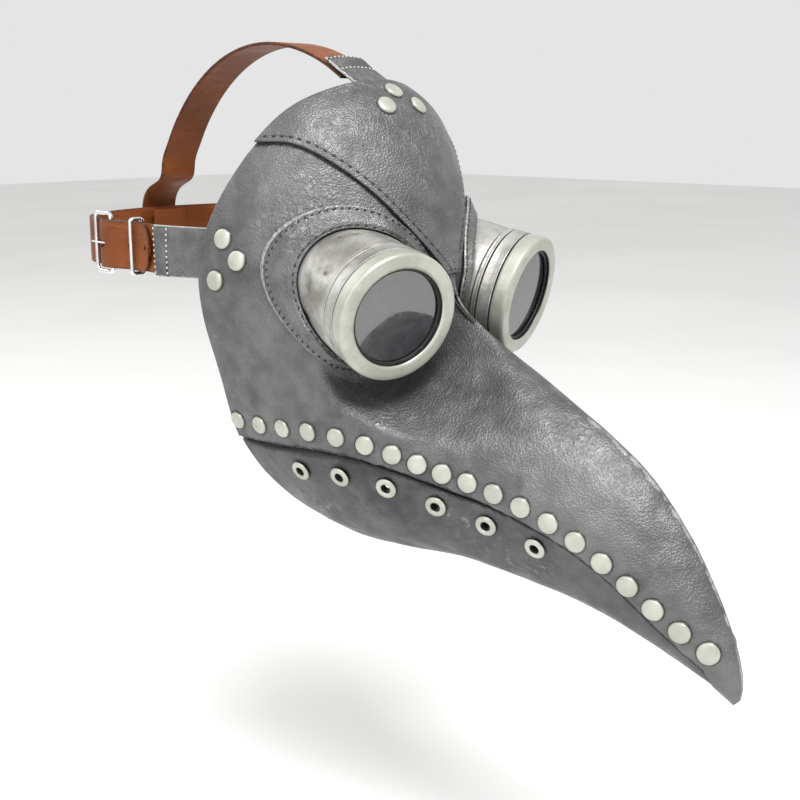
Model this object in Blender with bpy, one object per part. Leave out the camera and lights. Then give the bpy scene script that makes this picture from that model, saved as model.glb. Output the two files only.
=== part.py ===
"""Plague doctor mask: leather panels, eyepieces, rivets, eyelets, tabs, straps and buckles.

Blender 4.5, run with: blender --background --python part.py
The frame is the wearer's head: the origin is the centre of the head inside the mask, +Z is up,
the beak points towards -Y and the wearer's right is -X. Sizes below are in millimetres.
"""
import math

import bmesh
import bpy
import numpy as np
from mathutils import Matrix, Vector
from mathutils.bvhtree import BVHTree

MM = 0.001
GAP = 0.3                 # clearance kept between pieces that touch

# Leather thicknesses
FACE_T = 2.4
JAW_T = 2.0
BROW_T = 1.8
PATCH_T = 1.6
TAB_T = 1.8
STRAP_T = 1.8

# The outer skin of the face panel. Each station is one ring of the skin, from the rear edge to the
# beak tip: ridge (y, z), then brow, temple, cheek, gum, seam and chin (x, y, z) on the left side,
# then keel (y, z). The right side is its mirror image.
STATIONS = (
    ((-73, 106), (38, -64, 98), (63, -48, 75), (80, -25, 22),
     (75.5, -30, -32), (65, -34, -72), (44, -52, -107), (-66, -128)),
    ((-88, 94), (37, -77, 90), (62, -62, 66), (78, -45, 14),
     (74, -50, -30), (65, -57, -72), (42, -74, -112), (-84, -131)),
    ((-100, 76), (35, -89, 73), (59, -77, 48), (73.5, -68, 2),
     (71.5, -73, -32), (64.5, -80, -70.5), (40, -97, -113), (-102, -130)),
    ((-109, 55), (32, -101, 50), (53, -92, 25), (66, -91, -10),
     (66.5, -95, -39), (61.5, -105, -70), (38, -119, -112), (-120, -129)),
    ((-117, 31), (27, -113, 20), (45, -107, -3), (57, -108, -29),
     (58.5, -119, -49), (53, -130, -74), (33, -141, -111), (-141, -128)),
    ((-131, 3), (18, -128, -9), (33, -127, -27), (45, -132, -47),
     (47, -143, -60), (41, -157, -82), (27, -165, -114), (-165, -130)),
    ((-161, -23), (14, -161, -30), (26, -162, -42), (35, -166, -58),
     (37.5, -171, -70), (34, -180, -88), (21, -190, -118), (-191, -133)),
    ((-208, -48), (11, -208, -54), (20, -208, -64), (26, -210, -77),
     (28, -213, -88), (25, -219, -104), (15, -225, -128), (-226, -139)),
    ((-253, -82), (7, -252, -87), (13, -251, -95), (17, -250, -105),
     (18, -250, -114), (15, -252, -130), (9.5, -253, -141), (-253, -148)),
    ((-284, -134), (3.2, -283.5, -136), (6, -282, -139.5), (7.5, -280, -143),
     (7.6, -278.5, -146), (6.8, -277, -150), (4, -275.5, -154), (-275, -156)),
    ((-288, -158.5), (0.8, -287.8, -158.8), (1.3, -287.3, -159.3), (1.5, -286.6, -160),
     (1.4, -286, -160.6), (1.1, -285.4, -161), (0.6, -285, -161.3), (-284.8, -161.4)),
)
TIP = len(STATIONS) - 1   # station number of the beak tip
SEAM = 5.0                # ring position of the jaw seam
KEEL = 7.0                # ring position of the lower midline

# Panel edges, in station numbers and ring positions
BROW_END = 4.62           # station where the brow panel ends, at the bridge of the nose
BROW_WIDE, BROW_NARROW = 1.95, 0.2
BROW_LAP = 0.33           # how far the face panel reaches under the brow panel
NOTCH_END = 4.2           # station where the two sides of the face panel join
RIDGE_SPLIT = 0.07
JAW_END = 8.4             # station where the jaw panel ends, behind the tip
CLOSE_START, CLOSE_END = 8.75, 9.3    # the face panel wraps under the tip between these stations
SLIT = 6.85               # ring position of the wrapped panel's lower edges
CAVITY_START, CAVITY_RATE = 8.0, 0.42  # the beak turns solid towards the tip
JAW_LAP = 8.0             # jaw panel reaches this far up inside the face panel
JAW_LAP_GAP = 0.45        # between the two where they overlap
JAW_STEP = 0.13           # it comes out from under the seam over this much of the ring
JAW_SUNK = 0.9            # and then lies this far inside the skin

# Eyepieces
EYE_CENTRE = (50.0, -133.0, -1.5)     # middle of the left bezel's front ring
EYE_YAW = math.radians(14.7)
EYE_PITCH = math.radians(-13.0)
BARREL_R, BARREL_INNER_R = 30.0, 25.0
SOCKET_FLOOR, SOCKET_EASE = -25.0, 4.0   # how far behind the bezel's front the skin is pressed
SOCKET_R, SOCKET_RIM_R = 39.0, 54.0
SPIGOT_R = 28.8
BEZEL_R = 31.4
OPENING_R = 23.9
EYE_SIDES = 32
EYE_SEAT = 1.05           # how far the barrel and patch stand off the face panel
COLLAR_FRONT, COLLAR_REAR = -9.3, -16.4  # behind the bezel's front, as are the next five
COLLAR_R = 31.0
BAND_FRONT, BAND_REAR = -17.0, -19.8
BAND_R = 30.8
SHOULDER = -20.3          # step from the spigot up to the barrel
SPIGOT_END = -5.9
BEVEL = 0.5
FLANGE_R = 33.0
FLANGE_TOP = 1.9          # the flange's upper face over the skin
PATCH_INNER_R = BARREL_R + 0.9
PATCH_RISE = 2.6          # the patch climbs this far where it covers the flange
WINDOW_R = 26.0           # hole in the face panel behind the eyepiece
FASTENER_SIDES = 12
PIN_SIDES = 8             # of the cutters that make the fasteners' holes

# Fasteners
RIVET_R = 4.9
RIVET_RISE = 1.6
SHANK_R = 1.3
RIVET_SEAT = 0.25         # underside of the head over the outermost layer
TAIL_R, TAIL_T = 3.4, 0.7
SIDE_RIVETS = ((0.62, 31.0), (1.15, 21.0), (0.62, 10.5))   # station and height
TOP_RIVETS = ((0.55, 0.0), (1.05, -0.28), (1.05, 0.28))    # station and ring position
EYELET_R, EYELET_HOLE_R = 5.3, 2.2
EYELET_COUNT = 6
EYELET_SEAT = -0.15       # where the flange sits, from the skin: the jaw is domed under it
EYELET_BELOW_SEAM = 13.6
EYELET_FIRST, EYELET_LAST = 1.62, 6.32   # stations of the end eyelets

# Straps
STRAP_W = 25.0
TAB_W = 26.0
TAB_CROWN = 0.006         # how fast the top tab falls away to its sides, per mm
TOP_TAB_END = math.radians(66.0)      # where the top tab ends, over the crown
STRAP_Z = 23.0            # height of the side straps' middle
SIDE_START = (80.5, 3.0)  # plan position where the left strap leaves its tab
SIDE_REAR = (74.5, 61.0)  # plan position where the straight stretch ends
BACK_Y = 107.0            # the rear strap's inner face at the back of the head
CROWN_FRONT, CROWN_HEIGHT = 113.0, 127.5  # half axes of the arc that the crown strap follows
CROWN_STRAP_HALF = STRAP_W / 2 - 0.5
HEEL_U, FAR_U = 46.0, 62.0            # the buckle's heel bar and far bar, along the strap
HEEL_W, FAR_W = 3.4, 3.6              # their height over the strap's inner face
BAR_R = 1.2
FRAME_HALF = 15.6
SLOT_HALF = 2.6           # half height of the slot for the prong in the side strap
PRONG_RING_R, PRONG_HALF = 2.7, 1.5
PRONG_T = 1.0
KEEPER_U = 22.0
KEEPER_CLEAR = 0.4
WIRE_R = 1.1
LAYER_W = STRAP_T + GAP   # height of a second strap layer over the inner face


# ---------------------------------------------------------------- splines and the skin

def natural_matrix(count):
    """Second derivatives of a natural cubic spline as a matrix that acts on its knots."""
    system = np.eye(count) * 4.0
    right = np.zeros((count, count))
    for i in range(1, count - 1):
        system[i, i - 1] = system[i, i + 1] = 1.0
        right[i, i - 1], right[i, i], right[i, i + 1] = 6.0, -12.0, 6.0
    return np.linalg.solve(system, right)


def closed_matrix(count):
    """The same for a closed spline."""
    system = np.zeros((count, count))
    right = np.zeros((count, count))
    for i in range(count):
        before, after = (i - 1) % count, (i + 1) % count
        system[i, i], system[i, before], system[i, after] = 4.0, 1.0, 1.0
        right[i, before], right[i, i], right[i, after] = 6.0, -12.0, 6.0
    return np.linalg.solve(system, right)


def weights(position, matrix, closed):
    """How much each knot counts at each position along the spline."""
    count = len(matrix)
    position = np.asarray(position, float)
    if closed:
        position = position % count
        low = np.floor(position).astype(int) % count
        high = (low + 1) % count
    else:
        position = np.clip(position, 0.0, count - 1.0)
        low = np.minimum(np.floor(position).astype(int), count - 2)
        high = low + 1
    f = (position - low)[:, None]
    g = 1.0 - f
    unit = np.eye(count)
    return (g * unit[low] + f * unit[high]
            + ((g ** 3 - g) * matrix[low] + (f ** 3 - f) * matrix[high]) / 6.0)


def closed_ring(station):
    """A station as a whole ring: ridge, right side down to the keel, left side back up."""
    ridge, keel = station[0], station[-1]
    right = [(-x, y, z) for x, y, z in station[1:-1]]
    left = [(x, y, z) for x, y, z in reversed(station[1:-1])]
    return [(0.0, *ridge)] + right + [(0.0, *keel)] + left


NET = np.array([closed_ring(station) for station in STATIONS], float)
ALONG = natural_matrix(NET.shape[0])
AROUND = closed_matrix(NET.shape[1])


def smooth(low, high, x):
    """Smooth step from 0 to 1."""
    f = np.clip((np.asarray(x, float) - low) / (high - low), 0.0, 1.0)
    return f * f * (3.0 - 2.0 * f)


def eye_axis(side):
    """Unit vector out through one lens. side is +1 left, -1 right."""
    return np.array((side * math.sin(EYE_YAW) * math.cos(EYE_PITCH),
                     -math.cos(EYE_YAW) * math.cos(EYE_PITCH), math.sin(EYE_PITCH)))


def sink_sockets(points):
    """Press the skin back round each eyepiece, so that the whole barrel stands in front of it."""
    points = points.copy()
    for side in (-1, 1):
        axis = eye_axis(side)
        reach = points - np.array((side * EYE_CENTRE[0], *EYE_CENTRE[1:]))
        ahead = reach @ axis
        radius = np.linalg.norm(reach - ahead[:, None] * axis, axis=1)
        over = ahead - SOCKET_FLOOR
        push = 0.5 * (over + np.sqrt(over ** 2 + SOCKET_EASE ** 2))
        push *= (1.0 - smooth(SOCKET_R, SOCKET_RIM_R, radius)) * (side * points[:, 0] > 0.0)
        points -= push[:, None] * axis
    return points


def skin(s, t):
    """Points of the outer skin at stations s and ring positions t, in millimetres."""
    net = np.einsum("ni,nj,ijk->nk", weights(s, ALONG, False), weights(t, AROUND, True), NET)
    return sink_sockets(net)


def skin_normal(s, t):
    """Outward unit normals of the skin."""
    step = 0.02
    low, high = np.maximum(s - step, 0.0), np.minimum(s + step, float(TIP))
    along = skin(high, t) - skin(low, t)
    around = skin(s, t + step) - skin(s, t - step)
    normal = np.cross(around, along)
    return normal / np.linalg.norm(normal, axis=1, keepdims=True)


def off_skin(s, t, offset):
    """Points at a distance outside (+) or inside (-) the skin."""
    s, t = np.broadcast_arrays(np.asarray(s, float), np.asarray(t, float))
    shape = s.shape
    s, t = s.ravel(), t.ravel()
    offset = np.broadcast_to(offset, shape).reshape(-1, 1)
    return (skin(s, t) + skin_normal(s, t) * offset).reshape(*shape, 3)


def below_seam(station, distance):
    """Ring position at a distance below the seam (or above it, if negative) along the ring."""
    end = SEAM + (2.0 if distance > 0 else -2.5)
    t = np.linspace(SEAM, end, 120)
    points = skin(np.full_like(t, station), t)
    length = np.concatenate([[0.0], np.cumsum(np.linalg.norm(np.diff(points, axis=0), axis=1))])
    return float(np.interp(abs(distance), length, t))


# ---------------------------------------------------------------- scene helpers

def clear_scene():
    for item in list(bpy.data.objects):
        bpy.data.objects.remove(item, do_unlink=True)


def material(name, colour, roughness, metallic=0.0):
    found = bpy.data.materials.get(name)
    if found:
        return found
    made = bpy.data.materials.new(name)
    made.use_nodes = True
    shader = made.node_tree.nodes["Principled BSDF"]
    shader.inputs["Base Color"].default_value = (*colour, 1.0)
    shader.inputs["Roughness"].default_value = roughness
    shader.inputs["Metallic"].default_value = metallic
    return made


def grey_leather():
    return material("grey_leather", (0.16, 0.16, 0.165), 0.45)


def brown_leather():
    return material("brown_leather", (0.26, 0.075, 0.02), 0.5)


def pewter():
    return material("aged_pewter", (0.5, 0.5, 0.47), 0.35, 0.8)


def silver():
    return material("cream_silver", (0.6, 0.6, 0.55), 0.3, 0.7)


def dark_glass():
    return material("smoked_glass", (0.02, 0.02, 0.025), 0.05)


def black_rubber():
    return material("black_rubber", (0.01, 0.01, 0.01), 0.7)


def steel():
    return material("bright_steel", (0.75, 0.75, 0.74), 0.2, 1.0)


def add_mesh(name, points, faces, paint, round_shape=True, origin=None):
    """A mesh object from points in millimetres, with its origin at a chosen point."""
    shift = Vector(origin) if origin is not None else Vector((0.0, 0.0, 0.0))
    mesh = bpy.data.meshes.new(name)
    mesh.from_pydata([tuple((Vector(p) - shift) * MM) for p in points], [], faces)
    work = bmesh.new()
    work.from_mesh(mesh)
    bmesh.ops.remove_doubles(work, verts=work.verts, dist=1e-7)
    bmesh.ops.recalc_face_normals(work, faces=work.faces)
    work.to_mesh(mesh)
    work.free()
    for face in mesh.polygons:
        face.use_smooth = round_shape
    item = bpy.data.objects.new(name, mesh)
    item.location = shift * MM
    bpy.context.collection.objects.link(item)
    if paint:
        mesh.materials.append(paint)
    return item


def add_cutter(name, points, faces):
    cutter = add_mesh(name, points, faces, None, round_shape=False)
    cutter.hide_render = True
    cutter.display_type = "WIRE"
    return cutter


def cut(target, cutter):
    """Cut one mesh out of another for good, then drop the cutter."""
    modifier = target.modifiers.new("cut_" + cutter.name, "BOOLEAN")
    modifier.operation = "DIFFERENCE"
    modifier.object = cutter
    bpy.context.view_layer.update()
    evaluated = target.evaluated_get(bpy.context.evaluated_depsgraph_get())
    result = bpy.data.meshes.new_from_object(evaluated)
    target.modifiers.remove(modifier)
    target.data = result
    bpy.data.objects.remove(cutter, do_unlink=True)


def frame_at(origin, forward, upward):
    """A matrix, in millimetres, whose local Z is forward and whose local Y leans upward."""
    z = Vector(forward).normalized()
    x = Vector(upward).cross(z).normalized()
    y = z.cross(x)
    rotation = Matrix((x, y, z)).transposed().to_4x4()
    return Matrix.Translation(Vector(origin)) @ rotation


def ring_faces(sides, count, closed=True):
    """Faces between rings of count points each, all the way round."""
    faces = []
    for k in range(sides):
        after = (k + 1) % sides
        for i in range(count if closed else count - 1):
            j = (i + 1) % count
            faces.append((k * count + i, k * count + j, after * count + j, after * count + i))
    return faces


def bar_faces(length):
    """Faces of a bar made of four-point sections, with both ends closed."""
    faces = []
    for i in range(length - 1):
        a, b = 4 * i, 4 * (i + 1)
        for k in range(4):
            n = (k + 1) % 4
            faces.append((a + k, a + n, b + n, b + k))
    last = 4 * (length - 1)
    return faces + [(3, 2, 1, 0), (last, last + 1, last + 2, last + 3)]


def revolve(profile, sides, place, closed=True):
    """Points and faces of a closed (radius, z) profile turned around the local Z axis."""
    points = []
    count = len(profile)
    for k in range(sides):
        angle = math.tau * k / sides
        for radius, z in profile:
            points.append(place @ Vector((radius * math.cos(angle), radius * math.sin(angle), z)))
    faces = ring_faces(sides, count, closed)
    if not closed:
        faces.append([k * count for k in range(sides)])
        faces.append([k * count + count - 1 for k in reversed(range(sides))])
    return points, faces


# ---------------------------------------------------------------- leather panels

def two_skins(outer, inner, keep):
    """A closed shell from two grids of points: kept cells, and a wall round their border."""
    rows, cols = outer.shape[:2]
    points = np.concatenate([outer.reshape(-1, 3), inner.reshape(-1, 3)])
    faces, edges = [], {}
    under = rows * cols
    for i in range(rows - 1):
        for j in range(cols - 1):
            if not keep(i, j):
                continue
            ring = [i * cols + j, i * cols + j + 1, (i + 1) * cols + j + 1, (i + 1) * cols + j]
            faces.append(tuple(ring))
            faces.append(tuple(under + k for k in reversed(ring)))
            for a, b in zip(ring, ring[1:] + ring[:1]):
                key = (min(a, b), max(a, b))
                edges[key] = None if key in edges else (a, b)
    walls = [pair for pair in edges.values() if pair]
    return points, faces, walls, under


def wall_faces(walls, under):
    return [(b, a, under + a, under + b) for a, b in walls]


def brow_edge(s):
    """Ring position of the brow panel's lower edge."""
    fraction = np.clip(np.asarray(s, float) / BROW_END, 0.0, 1.0)
    return BROW_NARROW + (BROW_WIDE - BROW_NARROW) * (1.0 - fraction ** 1.3)


def face_top(s):
    """Ring position of the face panel's upper edge, under the brow panel."""
    return np.where(s < NOTCH_END, brow_edge(s) - BROW_LAP, RIDGE_SPLIT)


def face_low(s):
    """Ring position of the face panel's lower edge: the seam, then the wrap under the tip."""
    return SEAM + (SLIT - SEAM) * smooth(CLOSE_START, CLOSE_END, s)


def make_face_panel():
    behind = np.linspace(0.0, NOTCH_END, 13)
    beak = np.linspace(NOTCH_END, CLOSE_START, 14)[1:]
    tip = np.linspace(CLOSE_START, TIP, 8)[1:]
    s = np.concatenate([behind, beak, tip])
    cavity = np.where(s < CAVITY_START, s, CAVITY_START + (s - CAVITY_START) * CAVITY_RATE)
    half = np.linspace(0.0, 1.0, 18)

    def columns(station):
        top, low = face_top(station)[:, None], face_low(station)[:, None]
        one_side = top + (low - top) * half[None, :]
        return np.concatenate([-one_side[:, ::-1], one_side], axis=1)

    outer = off_skin(s[:, None], columns(s), 0.0)
    inner = off_skin(cavity[:, None], columns(cavity), -FACE_T)
    middle = len(half) - 1
    joined = len(behind) - 1
    points, faces, walls, under = two_skins(outer, inner, lambda i, j: j != middle or i >= joined)
    rows, cols = outer.shape[:2]
    last = range((rows - 1) * cols, rows * cols)
    ends = {tuple(sorted((k, k + 1))) for k in list(last)[:-1]}
    faces += wall_faces([pair for pair in walls if tuple(sorted(pair)) not in ends], under)
    points = list(points)
    for base, flip in ((0, False), (under, True)):
        ring = [base + k for k in last]
        centre = len(points)
        points.append(np.mean([points[k] for k in ring], axis=0))
        fan = [(a, b, centre) for a, b in zip(ring, ring[1:] + ring[:1])]
        faces += [face[::-1] for face in fan] if flip else fan
    first, final = last[0], last[-1]
    faces.append((first, final, under + final, under + first))
    return add_mesh("face_panel", points, faces, grey_leather())


def make_jaw_panel():
    s = np.linspace(0.0, JAW_END, 21)
    lap = np.array([below_seam(station, -JAW_LAP) for station in s])[:, None]
    under_face = lap + (SEAM - lap) * np.linspace(0.0, 1.0, 4)
    shown = np.linspace(SEAM + JAW_STEP, KEEL, 11) + 0.0 * lap
    right = np.concatenate([under_face, shown], axis=1)
    t = np.concatenate([right, 2 * KEEL - right[:, -2::-1]], axis=1)
    tucked = (t <= SEAM) | (t >= 2 * KEEL - SEAM)
    outside = np.where(tucked, -FACE_T - JAW_LAP_GAP, -JAW_SUNK)
    outer = off_skin(s[:, None], t, outside)
    inner = off_skin(s[:, None], t, outside - JAW_T)
    points, faces, walls, under = two_skins(outer, inner, lambda i, j: True)
    return add_mesh("jaw_panel", points, faces + wall_faces(walls, under), grey_leather())


def make_brow_panel():
    s = np.linspace(0.0, BROW_END, 17)
    across = np.linspace(-1.0, 1.0, 21)
    t = across[None, :] * brow_edge(s)[:, None]
    outer = off_skin(s[:, None], t, GAP + BROW_T)
    inner = off_skin(s[:, None], t, GAP)
    points, faces, walls, under = two_skins(outer, inner, lambda i, j: True)
    return add_mesh("brow_panel", points, faces + wall_faces(walls, under), grey_leather())


# ---------------------------------------------------------------- eyepieces

def eye_frame(side):
    """Frame of one eyepiece: local Z out through the lens. side is +1 left, -1 right."""
    x, y, z = EYE_CENTRE
    return frame_at((side * x, y, z), eye_axis(side), (0.0, 0.0, 1.0))


def panel_tree(panel):
    """A panel's own facets as a tree for ray casts, in millimetres."""
    points = [vertex.co / MM for vertex in panel.data.vertices]
    return BVHTree.FromPolygons(points, [tuple(face.vertices) for face in panel.data.polygons])


def rest_on_skin(tree, place, radius, angle, lift):
    """Local z where a line along the eyepiece meets the skin, raised off it by lift."""
    ahead = 40.0
    start = place @ Vector((radius * math.cos(angle), radius * math.sin(angle), ahead))
    axis = (place.to_3x3() @ Vector((0.0, 0.0, 1.0))).normalized()
    hit, normal, _, distance = tree.ray_cast(start, -axis)
    slope = max(abs(normal.dot(axis)), 0.35)
    return ahead - distance + lift / slope


def conforming(name, tree, place, profile, paint, sides=EYE_SIDES):
    """A ring round the eyepiece. profile(angle) lists (radius, z or None, lift over the skin)."""
    points, count = [], 0
    for k in range(sides):
        angle = math.tau * k / sides
        ring = profile(angle)
        count = len(ring)
        for radius, z, lift in ring:
            if z is None:
                z = rest_on_skin(tree, place, radius, angle, lift)
            points.append(place @ Vector((radius * math.cos(angle), radius * math.sin(angle), z)))
    return add_mesh(name, points, ring_faces(sides, count), paint)


def make_barrel(name, tree, place):
    def profile(angle):
        return ((SPIGOT_R, SPIGOT_END, 0), (SPIGOT_R, SHOULDER, 0), (BARREL_R, SHOULDER - 0.6, 0),
                (BARREL_R + 0.3, None, FLANGE_TOP + 0.3), (FLANGE_R, None, FLANGE_TOP),
                (FLANGE_R, None, EYE_SEAT), (29.0, None, EYE_SEAT),
                (BARREL_INNER_R, None, EYE_SEAT), (BARREL_INNER_R, SPIGOT_END, 0))
    return conforming(name, tree, place, profile, pewter())


def patch_radius(angle, side):
    """Outer radius of the oval eye patch: widest at the temple, close to the barrel at the nose."""
    outward = math.cos(angle) * side
    upward = math.sin(angle)
    return 38.2 + 2.6 * outward + 1.6 * upward * (1.0 if upward > 0 else 1.9)


def make_patch(name, tree, place, side):
    def profile(angle):
        edge = patch_radius(angle, side)
        top = EYE_SEAT + PATCH_T
        step = 35.2
        return ((PATCH_INNER_R, None, PATCH_RISE), (FLANGE_R + 0.6, None, PATCH_RISE - 0.3),
                (step, None, EYE_SEAT + 0.1), ((step + edge) / 2, None, EYE_SEAT),
                (edge, None, EYE_SEAT), (edge, None, top - 0.4), (step + 0.6, None, top),
                (FLANGE_R + 0.2, None, PATCH_RISE - 0.3 + PATCH_T),
                (PATCH_INNER_R, None, PATCH_RISE + PATCH_T))
    return conforming(name, tree, place, profile, grey_leather())


def make_turned(name, place, profile, paint, closed=True):
    points, faces = revolve(profile, EYE_SIDES, place, closed)
    return add_mesh(name, points, faces, paint)


def make_sleeve(name, place, front, rear, radius):
    """A plain ring with bevelled edges that slides over the barrel's spigot."""
    inner, low = SPIGOT_R + GAP, radius - 0.4
    profile = ((inner, front), (low, front), (radius, front - BEVEL), (radius, rear + BEVEL),
               (low, rear), (inner, rear))
    make_turned(name, place, profile, pewter())


def make_eyepiece(side_name, side, tree):
    place = eye_frame(side)
    make_barrel("eye_barrel_" + side_name, tree, place)
    make_patch("eye_patch_" + side_name, tree, place, side)
    make_sleeve("eye_collar_" + side_name, place, COLLAR_FRONT, COLLAR_REAR, COLLAR_R)
    make_sleeve("eye_band_" + side_name, place, BAND_FRONT, BAND_REAR, BAND_R)
    inner = SPIGOT_R + GAP
    make_turned("eye_bezel_" + side_name, place,
                ((OPENING_R, -0.9), (OPENING_R + 0.9, 0.0), (29.4, 0.0), (30.8, -0.5),
                 (BEZEL_R, -1.9), (BEZEL_R, -8.0), (30.9, -8.7), (inner, -8.7), (inner, -5.6),
                 (27.9, -5.6), (27.9, -1.7), (OPENING_R, -1.7)), silver())
    make_turned("lens_gasket_" + side_name, place,
                ((22.5, -2.1), (27.5, -2.0), (27.5, -3.1), (22.5, -3.1)), black_rubber())
    make_turned("lens_" + side_name, place,
                ((8.0, -3.4), (20.0, -3.4), (27.4, -3.4), (27.4, -5.5), (20.0, -5.5), (8.0, -5.5)),
                dark_glass(), closed=False)


def eye_cutter(side):
    """The round window that the eyepiece looks through."""
    points, faces = revolve(((WINDOW_R, -8.0), (WINDOW_R, -82.0)), 36, eye_frame(side), closed=False)
    return add_cutter("eye_window", points, faces)


# ---------------------------------------------------------------- fasteners

def place_on_skin(s, t, offset):
    """A frame standing on the skin, with local Z outwards."""
    s, t = np.array([s], float), np.array([t], float)
    point = off_skin(s, t, offset)[0]
    return frame_at(point, skin_normal(s, t)[0], (0.13, 0.11, 1.0))


def make_rivet(name, place, grip):
    """Domed head above local z = 0, shank through the layers, flat tail washer inside."""
    steps = 3
    dome = []
    for i in range(steps + 1):
        angle = math.radians(90.0 * i / steps)
        dome.append((max(RIVET_R * math.sin(angle), 0.6), RIVET_RISE * math.cos(angle) + 0.5))
    profile = dome + [(RIVET_R, 0.25), (RIVET_R - 0.3, 0.0), (SHANK_R, 0.0), (SHANK_R, -grip),
                      (TAIL_R, -grip), (TAIL_R, -grip - TAIL_T), (0.6, -grip - TAIL_T)]
    points, faces = revolve(profile, FASTENER_SIDES, place, closed=False)
    return add_mesh(name, points, faces, silver())


def make_eyelet(name, place, grip):
    """Rolled flange outside, tube through the leather, smaller rolled flange inside."""
    hole, tube = EYELET_HOLE_R, EYELET_HOLE_R + 0.5
    profile = ((hole, 0.3), (hole + 0.6, 1.1), (4.0, 1.2), (EYELET_R, 0.5), (EYELET_R, 0.0),
               (tube, 0.0), (tube, -grip), (4.2, -grip), (4.2, -grip - 0.6), (hole, -grip - 0.6))
    points, faces = revolve(profile, FASTENER_SIDES, place)
    return add_mesh(name, points, faces, silver())


def hole_cutter(places, radius, deep):
    """One cutter with a small round pin at each place."""
    points, faces = [], []
    for place in places:
        more, rings = revolve(((radius, 3.0), (radius, -deep)), PIN_SIDES, place, closed=False)
        faces += [tuple(k + len(points) for k in face) for face in rings]
        points += more
    return add_cutter("holes", points, faces)


def eyelet_places(side):
    """Evenly spaced places below the seam. side is +1 left, -1 right."""
    s = np.linspace(0.0, JAW_END, 200)
    t = np.array([below_seam(station, EYELET_BELOW_SEAM) for station in s])
    path = skin(s, t)
    length = np.concatenate([[0.0], np.cumsum(np.linalg.norm(np.diff(path, axis=0), axis=1))])
    ends = np.interp((EYELET_FIRST, EYELET_LAST), s, length)
    places = []
    for distance in np.linspace(ends[0], ends[1], EYELET_COUNT):
        station = float(np.interp(distance, length, s))
        ring = below_seam(station, EYELET_BELOW_SEAM)
        places.append((station, ring if side < 0 else 2 * KEEL - ring))
    return places


# ---------------------------------------------------------------- tabs and straps

def ribbon(name, path, thickness, half_widths, across, paint):
    """A strap along a flat path of (position, inward normal) pairs.

    across is the unit vector of the strap's width, thickness grows along each normal.
    """
    across = Vector(across)
    points = []
    for (point, normal), half in zip(path, half_widths):
        base = Vector(point)
        outer = base + Vector(normal) * thickness
        points += [base - across * half, base + across * half,
                   outer + across * half, outer - across * half]
    return add_mesh(name, points, bar_faces(len(path)), paint, round_shape=False)


def side_axes(side):
    """Start, rearward direction and outward direction of the straight side stretch."""
    start = Vector((side * SIDE_START[0], SIDE_START[1], STRAP_Z))
    rear = Vector((side * SIDE_REAR[0], SIDE_REAR[1], STRAP_Z))
    along = (rear - start).normalized()
    outward = Vector((side * abs(along.y), abs(along.x), 0.0)).normalized()
    return start, along, outward


def side_point(side, u, w):
    """Point on the side strap: u rearwards from the tab, w outwards from the inner face."""
    start, along, outward = side_axes(side)
    return start + along * u + outward * w


def fold_line(radius, low, back):
    """One face of the side strap: out to the heel bar, round it and back, as (u, w) points."""
    line = [(u, low) for u in (-6.0, 12.0, 28.0, HEEL_U)]
    for k in range(1, 9):
        angle = math.radians(-90.0 + 20.0 * k)
        line.append((HEEL_U + radius * math.cos(angle), HEEL_W + radius * math.sin(angle)))
    return line + [(HEEL_U, HEEL_W + radius), (HEEL_U - 6.0, back), (HEEL_U - 11.0, back)]


def make_side_strap(side_name, side):
    """Short strap from the tab, folded round the buckle's heel bar and back."""
    outline = fold_line(HEEL_W, 0.0, LAYER_W + STRAP_T)
    inner = fold_line(HEEL_W - STRAP_T, STRAP_T, LAYER_W)
    points = []
    up = Vector((0.0, 0.0, STRAP_W / 2))
    for (u1, w1), (u2, w2) in zip(outline, inner):
        low, high = side_point(side, u1, w1), side_point(side, u2, w2)
        points += [low - up, low + up, high + up, high - up]
    strap = add_mesh("side_strap_" + side_name, points, bar_faces(len(outline)), brown_leather(),
                     round_shape=False)
    cut(strap, box_cutter(side, HEEL_U - 3.4, HEEL_U + 6.0, -1.0, 9.0, SLOT_HALF))
    return strap


def box_cutter(side, u1, u2, w1, w2, half_z):
    corners = [side_point(side, u, w) + Vector((0.0, 0.0, z))
               for u in (u1, u2) for w in (w1, w2) for z in (-half_z, half_z)]
    faces = [(0, 1, 3, 2), (4, 6, 7, 5), (0, 4, 5, 1), (2, 3, 7, 6), (0, 2, 6, 4), (1, 5, 7, 3)]
    return add_cutter("slot", corners, faces)


def tube_loop(name, corners, radius, paint, sides=10, origin=None):
    """A closed loop of round wire through corner points, mitred at the corners."""
    count = len(corners)
    points, faces = [], []
    spoke = (Vector(corners[1]) - Vector(corners[0])).cross(Vector(corners[2]) - Vector(corners[1]))
    plane = spoke.normalized()
    for i, corner in enumerate(corners):
        before, after = Vector(corners[i - 1]), Vector(corners[(i + 1) % count])
        corner = Vector(corner)
        into = (corner - before).normalized()
        away = (after - corner).normalized()
        tangent = (into + away).normalized()
        side_way = tangent.cross(plane).normalized()
        stretch = 1.0 / max(tangent.dot(into), 0.5)
        for k in range(sides):
            angle = math.tau * k / sides
            points.append(corner + side_way * (radius * stretch * math.cos(angle))
                          + plane * (radius * math.sin(angle)))
    for i in range(count):
        a, b = i * sides, ((i + 1) % count) * sides
        for k in range(sides):
            n = (k + 1) % sides
            faces.append((a + k, a + n, b + n, b + k))
    return add_mesh(name, points, faces, paint, origin=origin)


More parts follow.
